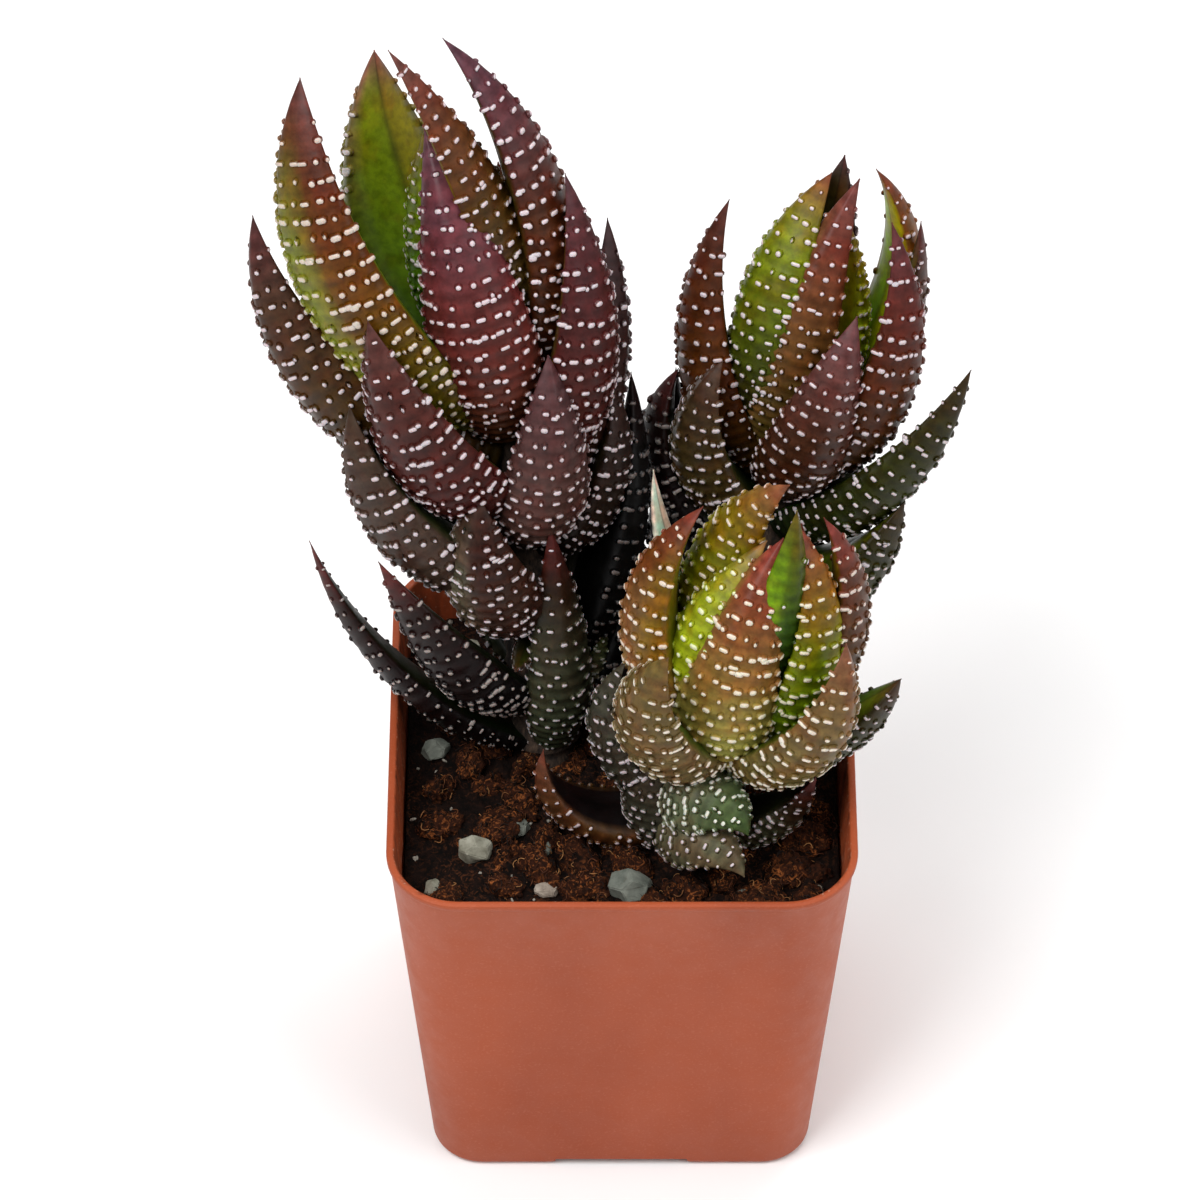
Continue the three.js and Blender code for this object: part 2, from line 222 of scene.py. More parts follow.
def place(piece: bpy.types.Object, finish: bpy.types.Material, slot: str, *nodes: str) -> None:
    """Finishes a piece, lets it ride on the plant's one body and stand for the solids it shows.

    Args:
        piece: the piece's object.
        finish: its material.
        slot: the material slot's name; not used.
        nodes: the solids that the piece stands for.
    """
    piece.data.materials.clear()
    piece.data.materials.append(finish)
    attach(piece, BODY)
    if nodes:
        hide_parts(*nodes)
    triangles = sum(len(polygon.vertices) - 2 for polygon in piece.data.polygons)
    log.info("%s: %d triangles, stands for %s", piece.name, triangles, ", ".join(nodes) or "no solid")


class Wiring:
    """A node tree with short calls that add a node and feed its inputs."""

    tree: bpy.types.NodeTree

    def add(self, kind: str, inputs: dict | None = None, **settings: object) -> bpy.types.Node:
        """Adds a node.

        Args:
            kind: the node's type.
            inputs: its inputs by name or number, each a socket to join or a plain value.
            settings: its properties.

        Returns:
            The node.
        """
        node = self.tree.nodes.new(kind)
        for key, value in settings.items():
            setattr(node, key, value)
        for key, value in (inputs or {}).items():
            self.feed(node.inputs[key], value)
        return node

    def feed(self, entry: Socket, value: object) -> None:
        """Joins a socket to an input, or sets the input to a plain value.

        Args:
            entry: the input.
            value: what it gets.
        """
        if isinstance(value, Socket):
            self.tree.links.new(value, entry)
        else:
            entry.default_value = value


@dataclass(frozen=True)
class Grain:
    """Cloudy noise: its spots in a metre, how many finer layers it has and how strong they are."""

    scale: float
    detail: float
    rough: float


class Paint(Wiring):
    """The nodes of one material."""

    def __init__(self, name: str, **surface: float) -> None:
        """Starts a material.

        Args:
            name: the material's name.
            surface: constant values of the shader's sockets, with _ for a space.
        """
        self.material = bpy.data.materials.new(name)
        self.material.use_nodes = True
        self.tree = self.material.node_tree
        self.surface = self.tree.nodes["Principled BSDF"]
        for key, value in surface.items():
            self.surface.inputs[key.replace("_", " ")].default_value = value
        self.place = self.add("ShaderNodeTexCoord").outputs["Object"]

    def join(self, output: Socket, name: str) -> None:
        """Joins a socket to one of the shader's inputs."""
        self.tree.links.new(output, self.surface.inputs[name])

    def value_of(self, name: str) -> Socket:
        """A named value of the piece's points."""
        return self.add("ShaderNodeAttribute", attribute_name=name).outputs["Fac"]

    def colour_of(self, name: str) -> Socket:
        """A named colour of the piece's points."""
        return self.add("ShaderNodeAttribute", attribute_name=name).outputs["Color"]

    def grain(self, grain: Grain, where: Socket | None = None) -> Socket:
        """Cloudy noise through the piece.

        Args:
            grain: its scale, detail and roughness.
            where: the coordinates it reads, or the object's own.

        Returns:
            The noise's height, from 0 to 1.
        """
        inputs = {"Vector": where or self.place, "Scale": grain.scale, "Detail": grain.detail,
                  "Roughness": grain.rough}
        return self.add("ShaderNodeTexNoise", inputs).outputs["Fac"]

    def grey(self, value: Socket) -> Socket:
        """A grey of a value's strength."""
        return self.add("ShaderNodeCombineColor", {0: value, 1: value, 2: value}).outputs[0]

    def stretched(self, across: float, along: float) -> Socket:
        """The object's own coordinates, scaled apart in level and upright directions."""
        scale = (across, across, along)
        return self.add("ShaderNodeMapping", {"Vector": self.place, "Scale": scale}).outputs["Vector"]

    def spread(self, value: Socket, read: Span, given: Span = (0, 1)) -> Socket:
        """Maps a range of a value onto another range.

        Args:
            value: the socket that is read.
            read: the range that is read.
            given: the range that comes out.

        Returns:
            The mapped value, held inside its range.
        """
        return self.add("ShaderNodeMapRange", dict(enumerate((value, *read, *given)))).outputs[0]

    def mix(self, share: Socket, first: Socket | Colour, second: Socket | Colour) -> Socket:
        """Mixes two colours.

        Args:
            share: how much of the second shows.
            first, second: a socket or a display colour each.

        Returns:
            The mixed colour.
        """
        first, second = (c if isinstance(c, Socket) else (*linear(*c), 1.0) for c in (first, second))
        return self.add("ShaderNodeMix", {0: share, 6: first, 7: second}, data_type="RGBA").outputs[2]

    def shaded(self, colour: Socket, by: Socket | Colour) -> Socket:
        """A colour multiplied by another, which is a socket or linear."""
        by = by if isinstance(by, Socket) else (*by, 1.0)
        inputs = {0: 1.0, 6: colour, 7: by}
        return self.add("ShaderNodeMix", inputs, data_type="RGBA", blend_type="MULTIPLY").outputs[2]

    def bump(self, height: Socket, relief: Span, under: Socket | None = None) -> Socket:
        """Fine relief from a height.

        Args:
            height: the height's socket.
            relief: how much of it shows, and its depth in millimetres.
            under: the normal it is laid over.

        Returns:
            The new normal.
        """
        strength, depth = relief
        inputs = {"Height": height, "Strength": strength, "Distance": depth * MM}
        if under:
            inputs["Normal"] = under
        return self.add("ShaderNodeBump", inputs).outputs[0]


class Grower(Wiring):
    """A Geometry Nodes tree that covers or repeats a shape, with named sizes as its inputs."""

    def __init__(self, name: str) -> None:
        """Starts the tree with its geometry input."""
        self.tree = bpy.data.node_groups.new(name, "GeometryNodeTree")
        self.tree.interface.new_socket("Geometry", in_out="INPUT", socket_type="NodeSocketGeometry")
        self.tree.interface.new_socket("Geometry", in_out="OUTPUT", socket_type="NodeSocketGeometry")
        self.entry = self.tree.nodes.new("NodeGroupInput")
        self.ground = self.entry.outputs["Geometry"]
        self.values: dict[str, float] = {}

    def size(self, name: str, value: float, kind: str = "Float") -> Socket:
        """Adds a named input.

        Args:
            name: what the value is.
            value: the value that the modifier gets.
            kind: Float or Int.

        Returns:
            The socket that carries it in the tree.
        """
        item = self.tree.interface.new_socket(name, in_out="INPUT", socket_type=f"NodeSocket{kind}")
        self.values[item.identifier] = value
        return self.entry.outputs[name]

    def sum(self, operation: str, *values: Socket | float) -> Socket:
        """Works out a number from others."""
        return self.add("ShaderNodeMath", dict(enumerate(values)), operation=operation).outputs[0]

    def vector(self, operation: str, first: Socket, second: Socket | tuple) -> Socket:
        """Works out a vector from another and a vector, or a number to scale it by."""
        key = "Scale" if operation == "SCALE" else 1
        return self.add("ShaderNodeVectorMath", {0: first, key: second}, operation=operation).outputs[0]

    def parts(self, vector: Socket) -> list[Socket]:
        """The three numbers of a vector."""
        return list(self.add("ShaderNodeSeparateXYZ", {0: vector}).outputs)

    def put_together(self, *numbers: Socket) -> Socket:
        """A vector of two or three numbers."""
        return self.add("ShaderNodeCombineXYZ", dict(enumerate(numbers))).outputs[0]

    def here(self) -> Socket:
        """The place of each point."""
        return self.add("GeometryNodeInputPosition").outputs[0]

    def keep(self, geometry: Socket, name: str, value: Socket, kind: str = "FLOAT_VECTOR") -> Socket:
        """Stores a named value on the points.

        Args:
            geometry: the geometry whose points get it.
            name: its name.
            value: the value.
            kind: FLOAT or FLOAT_VECTOR.

        Returns:
            The geometry with it.
        """
        inputs = {"Geometry": geometry, "Name": name, "Value": value}
        return self.add("GeometryNodeStoreNamedAttribute", inputs, data_type=kind).outputs[0]

    def strew(self, places: Socket, thing: Socket, rotation: Socket | None = None,
              scale: Socket | None = None) -> Socket:
        """Puts a copy of a thing on each place.

        Args:
            places: the places.
            thing: the thing's geometry.
            rotation: how each copy is turned.
            scale: how each copy is scaled.

        Returns:
            The copies, still as instances.
        """
        inputs = {"Points": places, "Instance": thing, "Rotation": rotation, "Scale": scale}
        given = {key: value for key, value in inputs.items() if value is not None}
        return self.add("GeometryNodeInstanceOnPoints", given).outputs["Instances"]

    def real(self, instances: Socket) -> Socket:
        """Instances turned into plain geometry."""
        return self.add("GeometryNodeRealizeInstances", {"Geometry": instances}).outputs["Geometry"]

    def named(self, name: str, kind: str = "FLOAT_VECTOR") -> Socket:
        """Reads a named value of the points."""
        node = self.add("GeometryNodeInputNamedAttribute", {"Name": name}, data_type=kind)
        return node.outputs["Attribute"]

    def chance(self, seed: Socket | int, low: object, high: object, kind: str = "FLOAT") -> Socket:
        """A seeded random value for each point.

        Args:
            seed: the seed.
            low, high: the range, numbers or vectors.
            kind: FLOAT or FLOAT_VECTOR.

        Returns:
            The random value.
        """
        node = self.add("FunctionNodeRandomValue", {"Seed": seed}, data_type=kind)
        first = {"FLOAT_VECTOR": 0, "FLOAT": 2}[kind]
        self.feed(node.inputs[first], low)
        self.feed(node.inputs[first + 1], high)
        return node.outputs[{"FLOAT_VECTOR": 0, "FLOAT": 1}[kind]]

    def grow(self, name: str, grown: Socket, finish: bpy.types.Material,
             ground: bpy.types.Mesh) -> bpy.types.Object:
        """Ends the tree, runs it on a mesh and keeps the plain result.

        Args:
            name: the new piece's name.
            grown: the geometry that the tree has made.
            finish: the material that it gets.
            ground: the mesh that it grows on.

        Returns:
            The new piece, with no modifier.
        """
        dressed = self.add("GeometryNodeSetMaterial", {"Geometry": self.real(grown), "Material": finish})
        leave = self.tree.nodes.new("NodeGroupOutput")
        self.tree.links.new(dressed.outputs["Geometry"], leave.inputs["Geometry"])
        piece = new_object(name, ground)
        modifier = piece.modifiers.new(name, "NODES")
        modifier.node_group = self.tree
        for identifier, value in self.values.items():
            modifier[identifier] = value
        return settle(piece)


@dataclass(frozen=True)
class Tone:
    """How one leaf is coloured: from root to tip on its back, on its inner face and on one flank.

    The flank is one side of the back, and its edge says how far it reaches across, from 1 at its
    own margin to -1 at the other; its side is 1 for the left margin seen from outside, or -1 for
    the right one. Banding is the share of tubercles that run together into bars, cover is the
    share of places that have one, and wax is their colour.
    """

    # On most tones the root colour is darker than the lower one. This is partly the leaf's own colour and
    # partly painted shade where the leaves crowd round the stem.
    root: Colour
    lower: Colour
    middle: Colour
    upper: Colour
    tip: Colour
    inside: Colour
    flank: Colour | None = None
    flank_edge: float = 0.3
    flank_side: int = 1
    banding: float = 0.07
    cover: float = 1.0
    wax: Colour = (220, 207, 212)

    SHEEN = 0.007
    STOPS_AT = (0.02, 0.25, 0.5, 0.76, 0.97)
    FLANK_EASE = (-0.2, 0.25)
    FLANK_FADE = (0.6, 0.97)
    FLANK_STRENGTH = 0.9
    FACE_TIP_FROM = 0.82
    # Painted light on the inner face: darker near the root and lighter towards the tip.
    FACE_PAINTED_LIGHT = 0.88
    FACE_PAINTED_LIGHT_GAIN = 0.35
    FACE_EVEN_AT = 0.6
    FACE_WARMTH = (0.9, 0.1, 0.5)
    # Painted shade: a dark line along the fold of the inner face.
    FOLD_PAINTED_SHADE = 0.5
    FOLD_WIDTH = 0.09
    HALVES_APART = (0.16, -0.08, -0.08)

    def seen(self, *colours: Colour) -> np.ndarray:
        """Linear colours, less the sheen that light adds to them."""
        return np.maximum(np.array([linear(*c) for c in colours]) - self.SHEEN, self.SHEEN / 4)

    def on_back(self, share: np.ndarray, turns: np.ndarray) -> np.ndarray:
        """Skin colours on the leaf's back.

        Args:
            share: shares of the leaf's length.
            turns: angles round the back.

        Returns:
            A colour for each place.
        """
        # The darker root stops carry painted shade at the leaf's foot.
        stops = self.seen(self.root, self.lower, self.middle, self.upper, self.tip)
        colour = np.stack([np.interp(share, self.STOPS_AT, stops[:, i]) for i in range(3)], axis=1)
        if self.flank is None:
            return colour
        low, high = (self.flank_edge + step for step in self.FLANK_EASE)
        cover = smooth_step(low, high, np.cos(turns) * self.flank_side)
        cover = (cover * (1 - smooth_step(*self.FLANK_FADE, share)) * self.FLANK_STRENGTH)[:, None]
        return colour * (1 - cover) + np.array(linear(*self.flank)) * cover

    def on_face(self, shares: np.ndarray, inner: np.ndarray) -> np.ndarray:
        """Skin colours on the leaf's inner face, which is folded along its middle, with painted shade along
        the fold and towards the root.

        Args:
            shares: a share of the leaf's length for each ring.
            inner: places across the face, from -1 to 1.

        Returns:
            A colour for each ring and place.
        """
        blush = smooth_step(self.FACE_TIP_FROM, 1.0, shares)[:, None]
        warmer = 1 + (shares[:, None] - self.FACE_EVEN_AT) * np.array(self.FACE_WARMTH)
        # Painted shade near the root and painted light towards the tip.
        light = self.FACE_PAINTED_LIGHT + self.FACE_PAINTED_LIGHT_GAIN * shares[:, None]
        plain = self.seen(self.inside)[0] * light * warmer
        face = plain * (1 - blush) + np.array(linear(*self.tip)) * blush
        # Painted shade along the fold.
        fold = 1 - self.FOLD_PAINTED_SHADE * np.exp(-(inner / self.FOLD_WIDTH) ** 2)
        halves = 1 + np.sign(inner)[:, None] * np.array(self.HALVES_APART)
        return face[:, None, :] * (fold[:, None] * halves)[None]


class LeafTone(Enum):
    """The kinds of colouring that the leaves have."""

    SUNNED = Tone((76, 76, 12), (92, 78, 16), (104, 64, 24), (94, 46, 26), (90, 50, 46), (98, 106, 6),
                  (124, 132, 36), -0.5, wax=(214, 200, 188))
    FRESH = Tone((80, 110, 20), (92, 118, 26), (100, 120, 34), (104, 100, 44), (122, 72, 58), (106, 114, 4))
    RUSSET = Tone((50, 40, 12), (62, 48, 20), (80, 56, 26), (102, 60, 38), (112, 68, 62), (96, 104, 8))
    MULBERRY = Tone((54, 34, 12), (70, 38, 14), (80, 44, 28), (90, 54, 58), (90, 58, 68), (60, 52, 18))
    WINE = Tone((70, 46, 30), (86, 44, 36), (96, 46, 44), (100, 58, 66), (106, 68, 78), (86, 76, 26),
                banding=0.1)
    UMBER = Tone((54, 42, 10), (62, 44, 12), (72, 50, 26), (76, 52, 38), (84, 54, 54), (62, 62, 22),
                 banding=0.08)
    MAROON = Tone((56, 32, 22), (70, 34, 30), (76, 38, 36), (78, 42, 44), (84, 50, 54), (70, 56, 24))
    COCOA = Tone((46, 34, 26), (52, 36, 30), (56, 38, 35), (60, 42, 42), (68, 48, 48), (54, 50, 26),
                 banding=0.12)
    GARNET = Tone((54, 32, 26), (68, 33, 30), (74, 38, 34), (78, 46, 41), (88, 54, 50), (70, 52, 26))
    ROAN = Tone((60, 44, 38), (80, 56, 50), (84, 58, 54), (82, 54, 54), (84, 56, 58), (66, 54, 30),
                banding=0.14)
    SMOKE = Tone((56, 46, 36), (66, 52, 42), (72, 55, 46), (72, 56, 46), (70, 54, 42), (56, 56, 32),
                 banding=0.18)
    CHARCOAL = Tone((34, 27, 22), (42, 33, 28), (48, 37, 32), (50, 38, 34), (58, 40, 36), (44, 42, 24),
                    banding=0.2)
    # INK: near black, partly the lowest leaves' own dark brown and partly painted shade from the leaves
    # above; its wax is dimmed with that painted shade.
    INK = Tone((22, 17, 12), (26, 21, 14), (31, 23, 16), (40, 26, 20), (92, 48, 46), (34, 36, 16),
               banding=0.16, wax=(168, 156, 150))
    BOTTLE = Tone((52, 56, 42), (68, 72, 54), (64, 64, 48), (46, 32, 24), (82, 40, 38), (30, 34, 14),
                  banding=0.2)
    FOREST = Tone((30, 36, 8), (44, 50, 10), (50, 52, 12), (50, 48, 16), (60, 46, 30), (64, 84, 10),
                  banding=0.14)
    SHALE = Tone((42, 34, 30), (54, 36, 30), (60, 40, 32), (56, 34, 28), (60, 42, 36), (44, 42, 24),
                 (90, 84, 66), 0.1, banding=0.1)
    ROSEWOOD = Tone((64, 56, 22), (88, 70, 34), (106, 68, 36), (110, 56, 42), (112, 62, 58), (112, 92, 28),
                    (112, 88, 44), 0.3)
    # CITRUS: its inner face is partly its own lime green, brightened with painted light for light shining
    # through the leaf.
    CITRUS = Tone((84, 96, 16), (100, 98, 18), (110, 86, 22), (112, 70, 26), (104, 58, 42), (142, 160, 18))
    CHESTNUT = Tone((58, 44, 12), (80, 48, 14), (84, 46, 20), (82, 44, 28), (80, 44, 38), (70, 60, 20))
    HEATHER = Tone((40, 28, 16), (58, 36, 20), (76, 46, 34), (98, 60, 56), (104, 64, 66), (66, 54, 30),
                   banding=0.1)
    CURRANT = Tone((48, 38, 10), (64, 40, 12), (82, 44, 26), (90, 42, 36), (94, 48, 52), (70, 56, 24))
    LODEN = Tone((50, 44, 26), (60, 50, 28), (64, 52, 30), (64, 50, 34), (76, 54, 44), (50, 48, 20),
                 banding=0.1)
    LIME = Tone((104, 118, 24), (138, 152, 24), (156, 170, 34), (146, 152, 36), (140, 104, 58),
                (96, 122, 20), banding=0.02, wax=(236, 240, 206))
    KIWI = Tone((36, 38, 10), (60, 64, 12), (94, 106, 8), (116, 124, 12), (120, 66, 38), (110, 70, 14),
                banding=0.03)
    FAWN = Tone((84, 70, 34), (94, 72, 38), (92, 62, 38), (96, 58, 42), (126, 58, 52), (88, 88, 20),
                wax=(228, 214, 202))
    KHAKI = Tone((92, 86, 44), (110, 94, 58), (112, 94, 60), (104, 86, 46), (104, 86, 46), (84, 84, 30),
                 wax=(240, 230, 214))
    AMBER = Tone((70, 84, 8), (104, 114, 6), (114, 120, 6), (124, 100, 12), (132, 80, 56), (104, 98, 20),
                 banding=0.02, wax=(228, 214, 200))
    CORAL = Tone((150, 153, 78), (153, 146, 70), (140, 109, 54), (126, 68, 43), (140, 66, 58), (86, 96, 20),
                 (146, 152, 60), 0.6, banding=0.02, wax=(240, 230, 210))
    PAPRIKA = Tone((84, 108, 10), (104, 128, 6), (116, 130, 8), (132, 92, 32), (136, 66, 54), (70, 96, 14),
                   banding=0.02, wax=(236, 226, 204))
    BLUSH = Tone((126, 108, 58), (150, 122, 78), (138, 98, 58), (99, 57, 24), (120, 60, 48), (100, 88, 20),
                 (126, 96, 10), 0.72, -1, banding=0.04, wax=(240, 226, 210))
    OLIVE = Tone((88, 82, 42), (106, 94, 50), (116, 98, 56), (116, 90, 54), (124, 80, 60), (70, 84, 14),
                 wax=(240, 230, 214))
    SLATE = Tone((48, 46, 36), (56, 54, 44), (60, 58, 48), (62, 60, 48), (68, 62, 50), (52, 72, 30),
                 banding=0.16)
    SPRING = Tone((50, 84, 8), (64, 104, 10), (82, 112, 14), (96, 112, 20), (110, 100, 40), (84, 112, 10))
    MEADOW = Tone((30, 46, 2), (40, 60, 2), (50, 74, 3), (74, 88, 8), (100, 86, 30), (84, 112, 10),
                  (110, 148, 10), 0.5, cover=0.14)
    PEAT = Tone((60, 44, 26), (72, 50, 30), (84, 58, 34), (92, 60, 38), (104, 62, 46), (28, 11, 7))
    GRASS = Tone((104, 100, 84), (108, 110, 90), (100, 106, 80), (80, 94, 58), (64, 84, 44), (84, 104, 36),
                 banding=0.5, wax=(232, 232, 220))
    PUTTY = Tone((72, 62, 50), (88, 80, 60), (94, 90, 68), (96, 94, 70), (98, 92, 70), (64, 80, 30),
                 banding=0.16)
    # GORSE: partly the leaf's own lime green, brightened with painted light for light shining through the
    # leaf.
    GORSE = Tone((120, 140, 8), (140, 160, 8), (150, 164, 12), (146, 136, 18), (116, 78, 44),
                 (140, 150, 12))
    # A near-black tone with dim wax: painted deep shade for leaves low between the stems.
    PAINTED_DEEP_SHADE = Tone((15, 11, 9), (18, 14, 11), (21, 17, 13), (24, 18, 14), (34, 22, 18), (20, 18, 12),
                 cover=0.8, wax=(96, 86, 82))
    STRAW = Tone((190, 182, 156), (200, 194, 168), (206, 202, 178), (212, 208, 188), (210, 208, 190),
                 (160, 178, 150), cover=0.0)


@dataclass(frozen=True)
class Stem:
    """The line that a rosette's leaves stand on, from its foot in the soil to its crown."""

    foot: Point
    crown: Point
    radius: float

    @property
    def length(self) -> float:
        """Distance from foot to crown."""
        return math.dist(self.foot, self.crown)

    def along(self) -> np.ndarray:
        """Direction of the stem."""
        return (np.array(self.crown) - np.array(self.foot)) / self.length

    def axes(self, turn: float) -> tuple[np.ndarray, np.ndarray, np.ndarray]:
        """Axes at a turn about the stem.

        Args:
            turn: degrees from the front, towards +X.

        Returns:
            The directions outwards, along the stem and to the side.
        """
        along = self.along()
        angle = math.radians(turn)
        out = np.array([math.sin(angle), -math.cos(angle), 0.0])
        out = out - along * out.dot(along)
        out = out / np.linalg.norm(out)
        return out, along, np.cross(along, out)


@dataclass(frozen=True)
class Leaf:
    """One leaf: a thick blade that starts at a stem, rises and curls, and narrows to its tip.

    Millimetres and degrees: its start up the stem, its turn from the front, its length, the lean of
    its chord above level, its curl from foot to tip, its width, its sway to the side, its tone, its
    taper (the higher, the blunter its tip), and its roll about its own midline.
    """

    up: float
    turn: float
    length: float
    lean: float
    curl: float
    width: float
    sway: float
    tone: LeafTone
    taper: float = 1.8
    roll: float = 0

    START_RADIUS = 1.5
    ROOT_WIDTH = 0.56
    BROADEST_AT = 0.28
    MARGIN_LEVEL = 0.1
    INNER_BULGE = 0.1
    FINEST = 0.12
    KEEL_SHARE = 0.55
    KEEL_FROM = 0.3
    KEEL_POWER = 1.15
    SPINE_STEPS = 120

    def breadth(self, share: np.ndarray) -> np.ndarray:
        """Half width along the leaf.

        Args:
            share: shares of its length.

        Returns:
            Half widths in millimetres.
        """
        swell = np.sin(math.pi / 2 * np.clip(share / self.BROADEST_AT, 0, 1))
        low = self.ROOT_WIDTH + (1 - self.ROOT_WIDTH) * swell
        beyond = np.clip((share - self.BROADEST_AT) / (1 - self.BROADEST_AT), 0, 1)
        return np.maximum(self.FINEST, (low - beyond**self.taper) * self.width / 2)

    def directions(self, stem: Stem, share: np.ndarray) -> tuple[np.ndarray, np.ndarray, np.ndarray]:
        """Axes of the leaf at shares of its length.

        Args:
            stem: the stem it grows on.
            share: shares of its length.

        Returns:
            The directions along its midline, outwards from its back, and across it.
        """
        out, along, side = stem.axes(self.turn)
        rise = np.radians(self.lean + self.curl * (share - 0.5))[:, None]
        swing = np.radians(self.sway * share)[:, None]
        forward = out * np.cos(rise) + along * np.sin(rise)
        tangent = forward * np.cos(swing) + side * np.sin(swing)
        sideways = side * np.cos(swing) - forward * np.sin(swing)
        outward = out * np.sin(rise) - along * np.cos(rise)
        turned = math.radians(self.roll)
        normal = outward * math.cos(turned) - sideways * math.sin(turned)
        return tangent, normal, -outward * math.sin(turned) - sideways * math.cos(turned)

    def spine(self, stem: Stem, share: np.ndarray) -> np.ndarray:
        """Points of the midline.

        Args:
            stem: the stem it grows on.
            share: shares of its length.

        Returns:
            The points.
        """
        out, along, _ = stem.axes(self.turn)
        start = np.array(stem.foot) + along * self.up + out * self.START_RADIUS
        middles = (np.arange(self.SPINE_STEPS) + 0.5) / self.SPINE_STEPS
        steps = self.directions(stem, middles)[0] * self.length / self.SPINE_STEPS
        line = start + np.vstack([np.zeros(3), np.cumsum(steps, axis=0)])
        marks = np.linspace(0, 1, self.SPINE_STEPS + 1)
        return np.stack([np.interp(share, marks, line[:, axis]) for axis in range(3)], axis=1)

    def back(self, turns: np.ndarray, share: np.ndarray) -> np.ndarray:
        """How far the leaf's back stands out, as a fraction of its half width.

        Args:
            turns: angles round the back, from one margin at 0 to the other at half a turn.
            share: shares of the leaf's length; towards the tip the round back becomes a keel.

        Returns:
            The fractions.
        """
        keeled = self.KEEL_SHARE * smooth_step(self.KEEL_FROM, 1.0, share)
        ridge = 1 - np.abs(np.cos(turns)) ** self.KEEL_POWER
        rise = np.sin(turns) * (1 - keeled) + ridge * keeled
        return self.MARGIN_LEVEL + (1 - self.MARGIN_LEVEL) * rise


@dataclass(frozen=True)
class TubercleRule:
    """How the white tubercles lie on a leaf's back: in raised rows across it, closer near its root.

    Steps, pitch, sizes and ridges are in millimetres; places along a leaf are shares of its length,
    and spans are the ends of what is drawn at random.
    """

    first_row: float = 0.04
    last_row: float = 0.94
    low_step: float = 1.3
    high_step: float = 2.35
    widest_step_at: float = 0.5
    widest_share: float = 0.061
    pitch: float = 1.9
    round_the_back: float = 3.0
    half_length: float = 0.42
    half_width: float = 0.36
    height: float = 0.5
    foot_spread: float = 1.75
    missing: float = 0.04
    bare_tip: float = 0.6
    bare_from: float = 0.85
    bare_run: float = 0.15
    wander: float = 0.2
    sideways: float = 0.14
    from_margin: float = 0.015
    farthest: float = 0.98
    low_ridge: float = 0.34
    high_ridge: float = 0.2
    last_ridge: float = 0.04
    sunk: float = 0.9
    bar_step: float = 0.5
    bar_dots: tuple[int, int] = (2, 5)
    bars_at: float = 0.3
    bars_more: float = 1.15
    bars_fall: float = 1.5
    least_barred_half: float = 2.2
    usual_width: float = 14
    length_span: Span = (0.65, 1.3)
    width_span: Span = (0.75, 1.2)
    height_span: Span = (0.8, 1.15)
    least_dull: float = 0.08
    dull_span: Span = (0, 0.14)
    dull_root: float = 0.5
    dull_until: float = 0.2
    dull_light: float = 1.5
    # foot_light: the skin at the tubercles' feet is painted a little lighter, like the painted light on the
    # ridges under them.
    foot_light: float = 1.04

    RIDGE_AT = (0, 0.5, 0.85, 1)
    BUILD_AT = (0, 0.12, 0.3, 0.7, 1)
    BUILD = (0.55, 0.75, 0.95, 1, 0.6)

    def rows(self, length: float) -> np.ndarray:
        """Where the rows cross a leaf.

        Args:
            length: the leaf's length.

        Returns:
            Shares of its length, from root to tip.
        """
        shares = [self.first_row]
        while shares[-1] < self.last_row:
            opened = min(1, shares[-1] / self.widest_step_at)
            step = self.low_step + (self.high_step - self.low_step) * opened
            shares.append(shares[-1] + min(step / length, self.widest_share))
        return np.array(shares[:-1])

    def ridge(self, share: np.ndarray) -> np.ndarray:
        """How high the rows' ridges stand at shares of the leaf's length."""
        return np.interp(share, self.RIDGE_AT, [self.low_ridge, self.high_ridge, self.last_ridge, 0])

    def build(self, leaf: Leaf, base: float) -> float:
        """How large the tubercles of a row are, against the usual size."""
        return math.sqrt(leaf.width / self.usual_width) * np.interp(base, self.BUILD_AT, self.BUILD)

    def banding(self, tone: Tone, share: float) -> float:
        """Share of a row's tubercles that run together into bars."""
        return tone.banding * (self.bars_more - abs(share - self.bars_at) * self.bars_fall)

    def cover(self, tone: Tone, share: float) -> float:
        """Share of a row's places that have a tubercle."""
        return tone.cover - self.missing - self.bare_tip * max(0.0, share - self.bare_from) / self.bare_run

    def dullness(self, base: float, draw: np.random.Generator, count: int) -> np.ndarray:
        """How much leaf skin shows through the wax of a row's tubercles, more near the leaf's root."""
        dusty = self.dull_root * max(0.0, self.dull_until - base) / self.dull_until
        return self.least_dull + dusty + draw.uniform(*self.dull_span, count)


